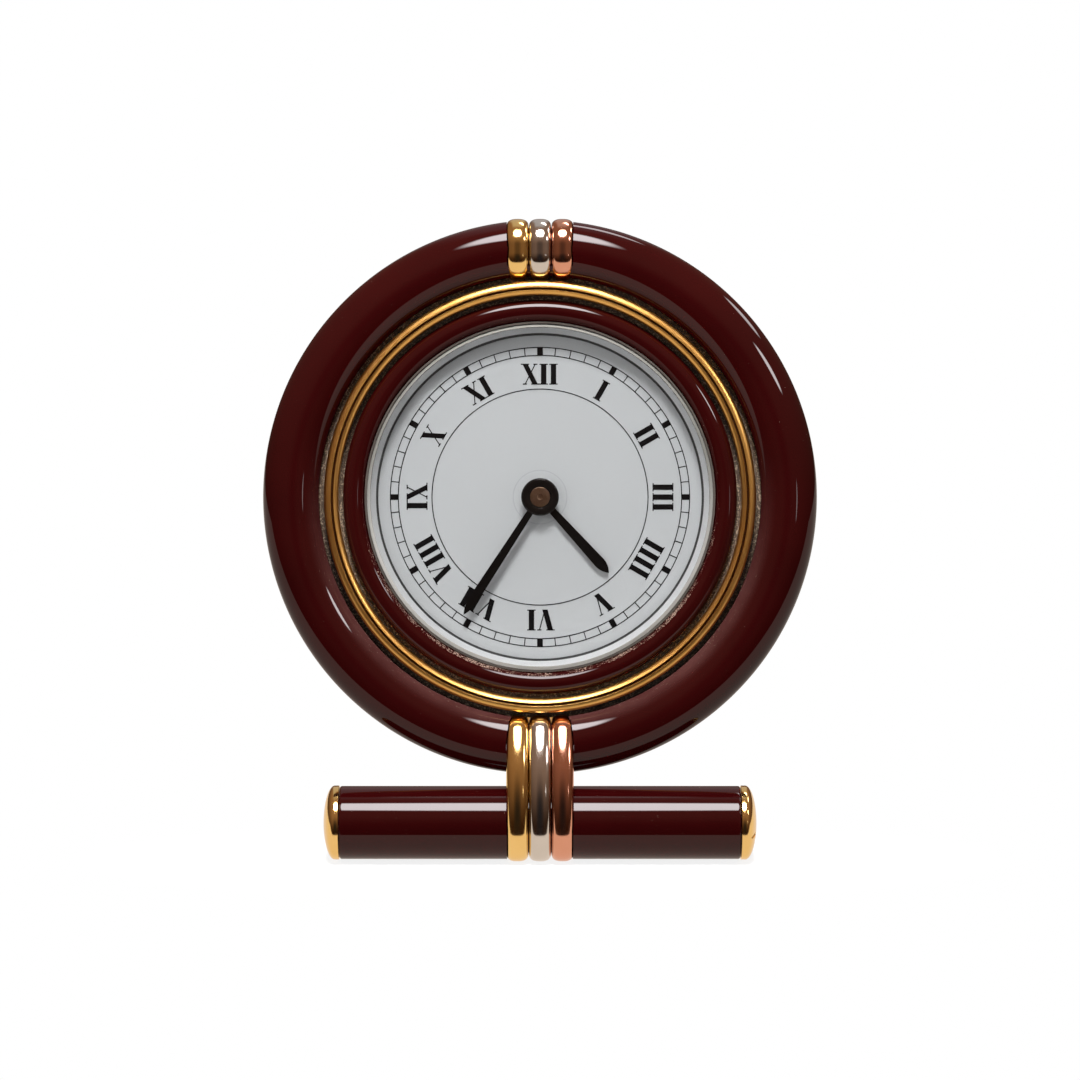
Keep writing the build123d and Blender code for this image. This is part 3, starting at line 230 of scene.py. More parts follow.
# The coil: enamelled copper wire wound in layers on the bobbin. The core in it is iron, and
# the stator has an arm to each of its ends.
enamelled, shader, place = new_finish("enamelled_wire", {"Metallic": 1.0})
turns = place.node(
    "ShaderNodeTexWave",
    {"wave_type": "BANDS", "bands_direction": "X"},
    {"Vector": place, "Scale": 1.0 / (1.2 * mm), "Distortion": 0.4},
    output=1,
)
tint(turns, (0.2, 0.05, 0.015), (0.55, 0.2, 0.07)).into(shader, "Base Color")
(0.35 - turns * 0.12).into(shader, "Roughness")
relief(turns, 0.05 * mm, 0.8).into(shader, "Normal")
put_on(enamelled, "coil_winding")


# The circuit board: glass fibre under a green mask, with tracks that show as paler lines. It
# lies against the movement's cover and carries the quartz.
board, shader, place = new_finish("green_board", {"Coat Weight": 0.3})
tracks = place.node(
    "ShaderNodeTexBrick",
    {"offset": 0.3},
    {
        "Vector": place,
        "Scale": 1.0 / (2.2 * mm),
        "Mortar Size": 0.06,
        "Color1": (0.0, 0.0, 0.0, 1.0),
        "Color2": (0.1, 0.1, 0.1, 1.0),
        "Mortar": (1.0, 1.0, 1.0, 1.0),
    },
)
tint(tracks, (0.008, 0.09, 0.03), (0.03, 0.2, 0.08)).into(shader, "Base Color")
(0.32 - tracks * 0.08).into(shader, "Roughness")
relief(tracks, 0.02 * mm, 0.6).into(shader, "Normal")
put_on(board, "circuit_board")


# The back of the case: a brass cover with its battery hatch, and the saddle between ring and
# bar, all plated in yellow gold and brushed in circles round the dial's middle. The cover is
# held by four screws.
lean = math.radians(10.0)
bar_height = 5.1 * mm
bar_to_dial = 43.5 * mm
dial_turn = (-lean, 0.0, 0.0)
dial_middle = (
    0.0,
    bar_to_dial * math.sin(lean),
    bar_height + bar_to_dial * math.cos(lean),
)


def seen_from_dial(place):
    """The place measured from the dial's middle: x right, y into the clock, z up the dial."""
    return place.node(
        "ShaderNodeMapping",
        {"vector_type": "TEXTURE"},
        {"Vector": place, "Location": dial_middle, "Rotation": dial_turn},
    )


def apart(place):
    """The three parts of a place, each a number."""
    return [
        place.node("ShaderNodeSeparateXYZ", {}, {"Vector": place}, output=number)
        for number in range(3)
    ]


def off_axis(place):
    """How far a place is from the clock's own axis."""
    across, _, up = apart(seen_from_dial(place))
    return (across * across + up * up) ** 0.5


gilt_dark = (0.6, 0.33, 0.1)
gilt_light = (0.76, 0.46, 0.17)
brushed_round, shader, place = new_finish("brushed_case", {"Metallic": 1.0})
away = off_axis(place)
lines = away.node(
    "ShaderNodeTexNoise",
    {"noise_dimensions": "1D"},
    {"W": away, "Scale": 1.0 / (0.12 * mm), "Detail": 4.0, "Roughness": 0.7},
)
cloud = noise(place, 4.0 * mm)
tint(cloud, gilt_dark, gilt_light).into(shader, "Base Color")
(0.24 + lines * 0.14 + cloud * 0.06).into(shader, "Roughness")
relief(lines, 0.004 * mm, 0.6).into(shader, "Normal")
put_on(brushed_round, "back_cover", "battery_hatch", "bar_saddle")


# The brass fittings: the cell's contacts, the cannon pinion that turns the minute hand, and
# the fluted setting knob on its stem.
raw_brass = metal(
    "raw_brass", (0.5, 0.3, 0.1), (0.62, 0.4, 0.16), 0.26, (1.0, 1.0, 0.2)
)
put_on(raw_brass, "cannon_pinion", "positive_contact", "negative_contact", "setting_knob")


# The hinge bracket and the strut: stamped from gilt brass sheet and brushed along their
# length. The strut swings on the pin and stops against the bracket when it is open.
brushed_strut = metal(
    "brushed_strut", gilt_dark, gilt_light, 0.24, (1.0, 0.06, 0.06), 0.1
)
put_on(brushed_strut, "hinge_bracket", "strut")


# The dial: a thin plate painted satin white, in one piece under the crystal. A faint darker
# ring is painted round the hands' hole.
dial_paint, shader, place = new_finish("dial_paint", {"Specular IOR Level": 0.35})
away = off_axis(place)
grain = noise(place, 0.25 * mm, detail=2.0)
cloud = noise(place, 14.0 * mm)
faint_dark_ring_r = 3.6 * mm
# A faint darker ring, about 0.12 mm wide, is painted round the hands' hole.
faint_dark_ring = abs(away - faint_dark_ring_r) < 0.06 * mm
shade = cloud * 0.5 + grain * 0.2
ground = tint(shade, (0.68, 0.705, 0.72), (0.74, 0.765, 0.775))
tint(faint_dark_ring * 0.5, ground, (0.5, 0.52, 0.55)).into(shader, "Base Color")
(0.42 + grain * 0.1).into(shader, "Roughness")
relief(grain, 0.004 * mm, 0.3).into(shader, "Normal")
put_on(dial_paint, "dial")


# The printing on the dial: twelve Roman numerals, the minute track and the thin inner circle,
# all in one pass of black ink that stands a little proud.
ink, shader, place = new_finish("dial_ink", {"Specular IOR Level": 0.12})
pores = noise(place, 0.08 * mm, detail=2.0)
tint(pores, (0.002, 0.002, 0.003), (0.007, 0.007, 0.008)).into(shader, "Base Color")
(0.5 + pores * 0.15).into(shader, "Roughness")
put_on(ink, "dial_numerals", "dial_track")


# The flange: the pale slope between crystal and dial, painted grey-white, with a thin painted
# shadow at its foot, where it meets the dial. The gasket that grips the crystal is near-black.
flange_paint, shader, place = new_finish("flange_paint", {"Specular IOR Level": 0.4})
grain = noise(place, 0.2 * mm, detail=2.0)
cloud = noise(place, 9.0 * mm)
# A thin near-black ring is painted at the flange's foot, as painted shadow in the gap where it
# meets the dial.
foot_painted_shadow = off_axis(place) < 21.98 * mm
paint = tint(cloud, (0.74, 0.75, 0.76), (0.82, 0.83, 0.84))
tint(foot_painted_shadow, paint, (0.03, 0.03, 0.03)).into(shader, "Base Color")
(0.38 + grain * 0.15).into(shader, "Roughness")
relief(grain, 0.005 * mm, 0.4).into(shader, "Normal")
put_on(flange_paint, "dial_flange")

# The gasket is coloured near-black, where it shows between the crystal and the inner ring.
gasket_nylon = moulded(
    "gasket_nylon", (0.015, 0.012, 0.01), (0.06, 0.05, 0.042), 0.5, 0.1 * mm
)
put_on(gasket_nylon, "crystal_gasket")


# The hands: blackened steel, each a thin tapered leaf, dull but for the minute hand's bush.
# They are pressed on the hour pipe and on that bush.
black_steel, shader, place = new_finish("black_hands", {"Specular IOR Level": 0.1})
((off_axis(place) < 2.6 * mm) * 0.7).into(shader, "Coat Weight")
wear = noise(place, 0.6 * mm, detail=4.0)
tint(wear, (0.002, 0.002, 0.002), (0.007, 0.006, 0.006)).into(shader, "Base Color")
(0.3 + wear * 0.15).into(shader, "Roughness")
relief(wear, 0.004 * mm, 0.3).into(shader, "Normal")
put_on(black_steel, "hour_hand", "minute_hand")


# The minute hand's bush: a turned black collar, hollowed in front round the nut. It is
# drawn as half a section and spun round the arbor.
def draw_section(name, points):
    """Draws a closed outline, one corner pulled out of the last."""
    bpy.ops.object.select_all(action="DESELECT")
    first = Vector(points[0])
    bpy.ops.mesh.primitive_plane_add(size=mm, location=first)
    piece = bpy.context.object
    piece.name = name
    bpy.ops.object.transform_apply(location=True, rotation=True, scale=True)
    bpy.ops.object.mode_set(mode="EDIT")
    bpy.ops.mesh.select_all(action="SELECT")
    bpy.ops.mesh.merge(type="CENTER")
    here = first
    for point in points[1:] + points[:1]:
        step = Vector(point) - here
        bpy.ops.mesh.extrude_region_move(TRANSFORM_OT_translate={"value": step})
        here = Vector(point)
    bpy.ops.mesh.select_all(action="SELECT")
    bpy.ops.mesh.remove_doubles(threshold=0.0005 * mm)
    bpy.ops.object.mode_set(mode="OBJECT")
    return piece


def take(piece):
    """Makes this the one piece that is picked and worked on."""
    bpy.ops.object.select_all(action="DESELECT")
    piece.select_set(True)
    bpy.context.view_layer.objects.active = piece


def tidy_shell(piece, angle):
    """Closes a spun shell, points its faces outwards and smooths all but its sharp edges."""
    take(piece)
    bpy.ops.object.mode_set(mode="EDIT")
    bpy.ops.mesh.select_all(action="SELECT")
    bpy.ops.mesh.remove_doubles(threshold=0.0008 * mm)
    bpy.ops.mesh.normals_make_consistent(inside=False)
    bpy.ops.object.mode_set(mode="OBJECT")
    bpy.ops.object.shade_smooth_by_angle(angle=math.radians(angle))


def lean_back(piece):
    """Moves a piece that was made upright round the origin to the dial's place."""
    take(piece)
    piece.rotation_euler = dial_turn
    piece.location = dial_middle
    bpy.ops.object.transform_apply(location=True, rotation=True, scale=True)


def turn_round(piece, steps, centre, axis, angle):
    """Spins a section a full turn into a shell and moves that to its place."""
    bpy.ops.object.mode_set(mode="EDIT")
    bpy.ops.mesh.select_all(action="SELECT")
    bpy.ops.mesh.spin(steps=steps, angle=math.tau, center=centre, axis=axis)
    bpy.ops.object.mode_set(mode="OBJECT")
    tidy_shell(piece, angle)
    lean_back(piece)


def spun(name, section, steps, angle=28.0):
    """A turned piece. The section gives each corner's radius and its level to the front."""
    piece = draw_section(name, [(radius * mm, -level * mm, 0.0) for radius, level in section])
    turn_round(piece, steps, (0.0, 0.0, 0.0), (0.0, 1.0, 0.0), angle)
    return piece


def arc(middle, radius, start, end, count, flatten=1.0):
    """Corners along an arc of a section, from one angle to the other."""
    corners = []
    for number in range(count + 1):
        turn = math.radians(start + (end - start) * number / count)
        corners.append(
            (
                middle[0] + radius * math.cos(turn),
                middle[1] + radius * math.sin(turn) * flatten,
            )
        )
    return corners


def dress(piece, finish, body, slot, *nodes):
    """The piece takes its finish, rides on its body and stands for these nodes."""
    piece.data.materials.clear()
    piece.data.materials.append(finish)
    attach(piece, body)
    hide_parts(*nodes)


bush_section = (
    [(1.43, -0.85), (1.43, -0.7)]
    + arc((1.6, -0.7), 0.17, 180.0, 100.0, 4)
    + arc((2.23, -0.85), 0.3, 92.0, 0.0, 10)
    + [(1.58, -0.86), (1.58, -1.6), (1.225, -1.6), (1.225, -0.86)]
)
bush = spun("hub_bush", bush_section, 96)
dress(bush, black_steel, "minute_hand_body", "hands", "minute_hand_bush")


# The hand nut: a small brass screw in the end of the arbor, tarnished brown, with a dimple
# in the middle where it was turned.
tarnished, shader, place = new_finish("tarnished_brass", {"Metallic": 1.0})
age = noise(place, 0.5 * mm, detail=5.0, rough=0.7)
tint(age, (0.2, 0.12, 0.075), (0.5, 0.34, 0.23)).into(shader, "Base Color")
(0.3 + age * 0.25).into(shader, "Roughness")
relief(age, 0.01 * mm, 0.4).into(shader, "Normal")
nut_section = (
    [(0.0, -0.74), (0.2, -0.68)]
    + arc((0.42, -0.72), 0.1, 150.0, 80.0, 3)
    + arc((1.22, -0.75), 0.13, 90.0, 0.0, 5)
    + [(1.35, -0.82), (0.5, -0.825), (0.5, -2.05), (0.0, -2.05)]
)
nut = spun("hub_nut", nut_section, 64, 35.0)
dress(nut, tarnished, "minute_hand_body", "wheel_brass", "hand_nut")


# The crystal: a flat mineral glass with a ground chamfer round its front edge, pressed into
# the gasket. Clear glass shows only what it mirrors. The ground edge is painted milky, with
# painted light low down, where the light comes out of the glass, and painted shade at the top.
clear_glass, shader, place = new_finish("crystal_glass", {"Specular IOR Level": 0.5})
away = off_axis(place)
ground_edge = away > 22.66 * mm
_, _, up = apart(seen_from_dial(place))
# Painted light and shade on the ground edge: pale low down, where the lit flange shows through,
# and dark at the top.
milky_painted_light = tint(eased(up, 8.0 * mm, -21.0 * mm), (0.16, 0.155, 0.14), (0.85, 0.83, 0.78))
smear = noise(place, 7.0 * mm, detail=4.0)
mirrored = place.node("ShaderNodeFresnel", {}, {"IOR": 1.5})
tint(ground_edge, (1.0, 1.0, 1.0), milky_painted_light).into(shader, "Base Color")
(1.0 - ground_edge * 0.9).into(shader, "Metallic")
(0.01 + smear * 0.03 + ground_edge * 0.4).into(shader, "Roughness")
(mirrored * 0.8 + ground_edge * 0.75).into(shader, "Alpha")
glass_section = [
    (0.0, -0.25),
    (22.95, -0.25),
    (23.1, -0.1),
    (23.1, 0.45),
    (22.65, 0.9),
    (0.0, 0.9),
]
glass = spun("clock_crystal", glass_section, 256, 20.0)
dress(glass, clear_glass, "clock_body", "crystal", "crystal")


# The inner ring: a rounded brass ring round the crystal. It wears many coats of deep red
# lacquer, cut and polished until they mirror the room, and dust has settled on them. The
# large ring and the bar are lacquered too.
dusty_groove_r = 28.4 * mm
glass_rim_r = 23.6 * mm


def crumbs(place, size, share):
    """Ragged crumbs, more of them where the share is higher, as 0 or 1."""
    ragged = noise(place, size, detail=4.0, rough=0.65)
    return ragged > 1.0 - share


def lacquered(name, lint_share):
    """The red lacquer, with more or less dust, and a lighter red where it faces down, as painted
    light bounced up from the table.
    """
    finish, shader, place = new_finish(
        name, {"Coat Roughness": 0.02, "Specular IOR Level": 0.0}
    )
    depth = noise(place, 9.0 * mm)
    fine = noise(place, 0.35 * mm, detail=2.0)
    smudge = noise(place, 5.0 * mm, detail=5.0, rough=0.65)
    across, _, up = apart(seen_from_dial(place))
    away = (across * across + up * up) ** 0.5
    faces_up = eased(up, 12.0 * mm, -22.0 * mm)
    from_groove = abs(away - dusty_groove_r)
    beside_groove = eased(from_groove, 1.0 * mm, 3.2 * mm, 1.0, 0.0)
    beside_glass = (away < glass_rim_r + 0.35 * mm) * 0.13
    patches = noise(place, 4.0 * mm)
    crowded = beside_glass.at_least(beside_groove * 0.06)
    settled = crumbs(place, 0.2 * mm, crowded * patches * 2.0 * (faces_up + 0.5) + lint_share)
    film = beside_groove * faces_up * (smudge * 0.38 + 0.02)
    facing = place.node("ShaderNodeNewGeometry", {}, {}, output="Normal")
    _, _, faces_sky = apart(facing)
    # Painted light: the lacquer's under side is coloured a lighter red, as if lit by the pale
    # table below.
    painted_bounce_light = eased(faces_sky, 0.05, -0.7)
    base = tint(depth, (0.01, 0.0005, 0.0006), (0.0158, 0.0008, 0.0009))
    base = tint(painted_bounce_light, base, (0.034, 0.0016, 0.0016))
    filmed = tint(film, base, (0.12, 0.055, 0.05))
    tint(settled * 0.75, filmed, (0.2, 0.14, 0.11)).into(shader, "Base Color")
    (0.3 + smudge * 0.2).into(shader, "Roughness")
    worn_by_glass = eased(away, glass_rim_r, glass_rim_r + 0.9 * mm, 0.6, 0.0)
    worn = worn_by_glass + eased(from_groove, 1.3 * mm, 2.3 * mm, 0.5, 0.0)
    full_gloss = 0.72
    gloss = full_gloss - smudge * 0.08 - settled * full_gloss - worn * full_gloss
    gloss.at_least(0.05).into(shader, "Coat Weight")
    relief(fine + settled * 2.0, 0.0008 * mm, 0.5).into(shader, "Normal")
    return finish


ring_lacquer = lacquered("ring_lacquer", 0.255)
inner_section = (
    [(23.45, -0.25)]
    + arc((24.875, 0.35), 1.425, 180.0, 0.0, 24, flatten=1.15 / 1.425)
    + [(26.3, -0.25)]
)
inner_ring = spun("inner_ring_lacquered", inner_section, 256)
dress(inner_ring, ring_lacquer, "clock_body", "lacquer", "inner_ring")


# The bezel: a turned brass ring, plated in yellow gold and polished, rounded like half a bead
# and parted by a groove into a thick outer and a thin inner rim. It is pressed on the drum's
# collar round the inner ring.
def polished(name, dark, light, roughness, groove=0.0):
    """Polished plate with hairlines from wear, and grime where its groove's radius is given."""
    finish, shader, place = new_finish(name, {"Metallic": 1.0})
    crossed = place.node(
        "ShaderNodeMapping",
        {},
        {"Vector": place, "Rotation": (0.5, 0.8, 0.3), "Scale": (1.0, 0.08, 1.0)},
    )
    hairlines = noise(crossed, 0.1 * mm, detail=2.0)
    tone = noise(place, 2.5 * mm, detail=4.0)
    grimy = abs(off_axis(place) - groove) < 0.16 * mm
    tint(grimy, tint(tone, dark, light), (0.16, 0.07, 0.02)).into(shader, "Base Color")
    (roughness + hairlines * 0.06 + tone * 0.05 + grimy * 0.3).into(shader, "Roughness")
    relief(hairlines, 0.0012 * mm, 0.5).into(shader, "Normal")
    return finish


bezel_gold = polished("bezel_gold", (0.76, 0.42, 0.1), (0.88, 0.54, 0.17), 0.27, groove=27.7 * mm)
yellow_gold = polished("yellow_gold", (0.93, 0.62, 0.21), (1.0, 0.71, 0.28), 0.07)
white_gold = polished("white_gold", (0.65, 0.62, 0.56), (0.75, 0.71, 0.65), 0.07)
rose_gold = polished("rose_gold", (0.73, 0.35, 0.22), (0.82, 0.41, 0.28), 0.07)
bezel_section = (
    [(26.89, -0.25), (26.89, 0.9)]
    + arc((27.845, 1.48), 0.955, 180.0, 111.0, 12, flatten=0.754)
    + [(27.56, 2.11), (27.6, 2.03), (27.66, 1.8), (27.72, 1.74), (27.78, 1.8)]
    + [(27.84, 2.05), (27.88, 2.15)]
    + arc((27.845, 1.48), 0.955, 84.0, 0.0, 18, flatten=0.754)
    + [(28.8, 0.9), (28.8, -0.25)]
)
bezel = spun("gold_bezel", bezel_section, 256, 40.0)
dress(bezel, bezel_gold, "clock_body", "yellow_gold", "bezel")


# The large ring: brass of oval section, flat inside where it grips the collar, and lacquered.
# Channels are milled in it at the top and at the bottom, as deep as the bands are thick. In
# the bore at the top each band has a notch of its own.
outer_section = arc((33.1, 0.0), 3.898, -157.4, 157.4, 44, flatten=3.25 / 3.9)
outer_ring = spun("large_ring", outer_section, 288)


def up_the_side(name, half_section, low, high, bow, steps):
    """A strap bent round two circles, each a height up the dial and a radius.

    In front it bows from one to the other, in an arc of the radius bow, and behind it is
    straight. The section gives its corners as distance across the strap and height over its
    inner face.
    """
    (low_y, low_r), (high_y, high_r) = low, high
    climb = high_y - low_y
    low_arm, high_arm = bow - low_r, bow - high_r
    lift = (low_arm**2 - high_arm**2 + climb**2) / (2.0 * climb)
    bow_depth = math.sqrt(low_arm**2 - lift**2)
    low_lean = math.asin(-lift / low_arm)
    high_lean = math.asin((climb - lift) / high_arm)
    tilt = math.asin((low_r - high_r) / climb)
    out = Vector((0.0, -math.cos(low_lean), math.sin(low_lean)))
    start = Vector((0.0, 0.0, low_y)) + out * low_r
    corners = [
        tuple((start + out * height) * mm + Vector((across * mm, 0.0, 0.0)))
        for across, height in half_section
    ]
    piece = draw_section(name, corners)
    bpy.ops.object.mode_set(mode="EDIT")
    bpy.ops.mesh.select_all(action="SELECT")
    bpy.ops.mesh.spin(
        steps=12,
        angle=high_lean - low_lean,
        center=(0.0, bow_depth * mm, (low_y + lift) * mm),
        axis=(1.0, 0.0, 0.0),
    )
    bpy.ops.mesh.spin(
        steps=steps,
        angle=math.pi - high_lean - tilt,
        center=(0.0, 0.0, high_y * mm),
        axis=(1.0, 0.0, 0.0),
    )
    run = (low_r - high_r) * Vector((0.0, math.cos(tilt), math.sin(tilt)))
    run.z -= climb
    bpy.ops.mesh.extrude_region_move(TRANSFORM_OT_translate={"value": run * mm})
    bpy.ops.mesh.spin(
        steps=steps,
        angle=math.pi + tilt + low_lean,
        center=(0.0, 0.0, low_y * mm),
        axis=(1.0, 0.0, 0.0),
    )
    bpy.ops.object.mode_set(mode="OBJECT")
    tidy_shell(piece, 35.0)
    return piece


def mill(piece, cutter):
    """Cuts a hollow with a cutter, which is then thrown away."""
    take(piece)
    cut = piece.modifiers.new("channel", "BOOLEAN")
    cut.operation = "DIFFERENCE"
    cut.solver = "EXACT"
    cut.object = cutter
    bpy.ops.object.modifier_apply(modifier=cut.name)
    bpy.data.objects.remove(cutter)


bar_level = -bar_to_dial / mm
half_band = 1.48
band_rise = 1.128
press_fit = 0.01
band_pitch = 3.0
band_middles = (-band_pitch, 0.0, band_pitch)
top_hoop = ((32.3, 2.3), (33.7, 2.3), 400.0)
bottom_hoop = ((bar_level, 4.05), (-32.5, 2.3), 18.0)
half_channel = [(4.5, -0.03), (4.5, 0.55), (4.38, 0.88), (4.1, 1.1), (3.6, 1.19)]
channel = [(-across, height) for across, height in half_channel] + half_channel[::-1]


def band_outline(middle, half_width, height):
    """The section of one band: flat inside, and outside a round that is a little squared."""
    squared = 2.7
    corners = [(middle - half_width, 0.0)]
    for turn in range(5, 180, 10):
        aside = math.cos(math.radians(turn))
        rise = math.sin(math.radians(turn))
        swell = (abs(aside) ** squared + rise**squared) ** (-1.0 / squared)
        corners.append((middle - half_width * aside * swell, height * rise * swell))
    return corners + [(middle + half_width, 0.0)]


notches = [
    band_outline(middle, half_band - press_fit, band_rise - press_fit)
    for middle in band_middles
]


def cut_below(level):
    """Cuts the piece in hand off flat at a level, throws away what is below and closes it."""
    bpy.ops.object.mode_set(mode="EDIT")
    bpy.ops.mesh.select_all(action="SELECT")
    bpy.ops.mesh.bisect(
        plane_co=(0.0, 0.0, level),
        plane_no=(0.0, 0.0, -1.0),
        use_fill=True,
        clear_outer=True,
        threshold=0.001 * mm,
    )
    bpy.ops.object.mode_set(mode="OBJECT")


def mill_along(piece, sections, hoops, above=None):
    """Mills channels of these sections along each hoop of the bands, or along its upper part."""
    for hoop in hoops:
        for section in sections:
            cutter = up_the_side("cutter", section, *hoop, 32)
            if above is not None:
                cut_below(above)
            lean_back(cutter)
            mill(piece, cutter)
    tidy_shell(piece, 28.0)


mill_along(outer_ring, [channel], [top_hoop], above=30.7 * mm)
mill_along(outer_ring, notches, [top_hoop])
mill_along(outer_ring, [channel], [bottom_hoop])
dress(outer_ring, ring_lacquer, "clock_body", "lacquer", "outer_ring")


# The drum that the ring is pressed on: a turned brass tube with a shelf in front and a collar
# round it, gilt and brushed. The collar is notched where the bands pass between it and the
# ring. It closes the groove round the bezel, and lint and dust have settled there. Its front
# faces, seen only down the grooves, are painted near-black under the lint, as painted shade.
dusty_drum, shader, place = new_finish("dusty_drum", {})
_, inward, _ = apart(seen_from_dial(place))
in_groove = inward < 1.3 * mm
felt = noise(place, 0.5 * mm, detail=5.0, rough=0.7)
lint = crumbs(place, 0.22 * mm, 0.44)
# Near-black painted shade, under real lint and dust, on the front faces that show down the
# grooves.
dirt_and_painted_shade = tint(felt, (0.003, 0.002, 0.001), (0.07, 0.045, 0.03))
dusty = tint(lint * 0.7, dirt_and_painted_shade, (0.3, 0.23, 0.16))
stretched = place.node("ShaderNodeMapping", {}, {"Vector": place, "Scale": (1.0, 0.08, 1.0)})
marks = noise(stretched, 0.12 * mm, detail=3.0)
gilt = tint(noise(place, 4.0 * mm), gilt_dark, gilt_light)
tint(in_groove, gilt, dusty).into(shader, "Base Color")
(1.0 - in_groove).into(shader, "Metallic")
(0.24 + marks * 0.14 + in_groove * (0.4 + felt * 0.2)).into(shader, "Roughness")
relief(marks + in_groove * felt * 8.0, 0.01 * mm, 0.6).into(shader, "Normal")
drum_section = [
    (22.9, -0.25),
    (29.49, -0.25),
    (29.49, -1.2),
    (28.3, -1.25),
    (28.3, -9.9),
    (27.3, -9.9),
    (27.3, -1.05),
    (22.9, -1.05),
]
drum = spun("case_drum", drum_section, 288, 30.0)
mill_along(drum, notches, [top_hoop, bottom_hoop])
dress(drum, dusty_drum, "clock_body", "case_brass", "case_body")


# The foot bar: a lacquered brass barrel across the bottom, bored for the tie rod. The three
# lower bands sit in a channel milled round it.
bar_end = 26.7


def turned_on_bar(name, outline):
    """A piece turned on the bar's axis, each corner given along the bar and by its radius."""
    points = [(along * mm, 0.0, (bar_level + radius) * mm) for along, radius in outline]
    piece = draw_section(name, points)
    turn_round(piece, 128, (0.0, 0.0, bar_level * mm), (1.0, 0.0, 0.0), 30.0)
    return piece


half_bar = (
    [(bar_end, 1.6), (bar_end, 3.0), (bar_end, 4.3)]
    + arc((26.45, 4.62), 0.25, 0.0, 90.0, 5)
    + [(26.3, 4.87), (25.8, 4.87), (20.0, 4.87), (12.0, 4.87), (5.2, 4.87)]
)
bar_outline = half_bar + [(-along, radius) for along, radius in reversed(half_bar)]
foot_bar = turned_on_bar("lacquered_bar", bar_outline)
mill_along(foot_bar, [channel], [bottom_hoop])
bar_lacquer = lacquered("bar_lacquer", 0.28)
dress(foot_bar, bar_lacquer, "clock_body", "lacquer", "foot_bar")


# The end caps: two domed caps of yellow gold plate, drawn against the bar's ends by the tie
# rod. Each has a straight rim and then curves to its middle. The right one has been nicked.
cap_r = 4.94
cap_corners = (
    [(0.05, 0.0), (0.05, 4.8), (0.12, 4.92), (0.2, cap_r), (0.62, cap_r)]
    + [
        (0.7 + 1.5 * math.sin(math.radians(turn)), cap_r * math.cos(math.radians(turn)))
        for turn in range(4, 89, 4)
    ]
    + [(2.2, 0.0)]
)
nick = (28.5 * mm, -2.9 * mm, -45.0 * mm)
for side, way in (("left", -1), ("right", 1)):
    outline = [(way * (bar_end + along), radius) for along, radius in cap_corners]
    domed = turned_on_bar("domed_cap_" + side, outline)
    if side == "right":
        bpy.ops.mesh.primitive_uv_sphere_add(
            segments=24, ring_count=12, radius=1.0, location=nick
        )
        gouge = bpy.context.object
        gouge.scale = (0.28 * mm, 1.35 * mm, 0.24 * mm)
        gouge.rotation_euler = Vector((0.26, 0.93, 0.24)).to_track_quat("Y", "Z").to_euler()
        bpy.ops.object.transform_apply(location=True, rotation=True, scale=True)
        lean_back(gouge)
        mill(domed, gouge)
        tidy_shell(domed, 30.0)
    dress(domed, yellow_gold, "clock_body", "yellow_gold", "end_cap_" + side)


# The bands: half-round strips of plated metal bent into closed hoops. Three short ones go
# round the ring at the top, and three long ones tie the ring to the bar at the bottom. Each
# set is yellow, white and rose, and the long ones are ground flat where they stand.
band_colours = (("yellow", yellow_gold), ("white", white_gold), ("rose", rose_gold))
ground_level = 0.002 * mm
for middle, (colour, plate) in zip(band_middles, band_colours):
    section = band_outline(middle, half_band, band_rise)
    for end, hoop in (("top", top_hoop), ("bottom", bottom_hoop)):
        band = up_the_side(end + "_" + colour + "_gold", section, *hoop, 48)
        lean_back(band)
        if end == "bottom":
            cut_below(ground_level)
            tidy_shell(band, 35.0)
        dress(band, plate, "clock_body", colour + "_gold", end + "_band_" + colour)


# The floor: it keeps the clock's shadow close round the foot bar and fades out beyond it.
# Nothing mirrors it, because the room below has its own pale table.
floor_r = 0.24
bpy.ops.object.select_all(action="DESELECT")
bpy.ops.mesh.primitive_circle_add(
    vertices=64, radius=floor_r, fill_type="NGON", location=(0.0, -0.04, 0.0)
)
floor = bpy.context.object
floor.name = "pale_floor"
bpy.ops.object.transform_apply(location=True, rotation=True, scale=True)
pale, shader, place = new_finish(
    "pale_floor",
    {
        "Base Color": (0.94, 0.94, 0.94, 1.0),
        "Roughness": 1.0,
        "Specular IOR Level": 0.0,
    },
)
x, y, _ = apart(place)
beside, before = x * 0.55, y * 1.6
out = (beside * beside + before * before) ** 0.5
eased(out, 0.01, 0.035, 0.16, 0.0).into(shader, "Alpha")
floor.visible_glossy = False
floor.data.materials.append(pale)


# The room as the clock mirrors it. Low down it is the pale table, up to the table's front
# edge. Overhead there is a paler strip. The rest is warm, and darker just over the table and
# behind the camera.
def only_mirrored(sheet, finish):
    """A card that only the mirror-like pieces see."""
    sheet.data.materials.append(finish)
    sheet.visible_camera = False
    sheet.visible_diffuse = False
    sheet.visible_transmission = False
    sheet.visible_shadow = False


def glow(name):
    """A finish that gives light of its own, so that a card is seen evenly."""
    finish, shader, place = new_finish(
        name, {"Base Color": (0.0, 0.0, 0.0, 1.0), "Specular IOR Level": 0.0, "Roughness": 1.0}
    )
    shader.inputs["Emission Strength"].default_value = 1.0
    return finish, shader, place


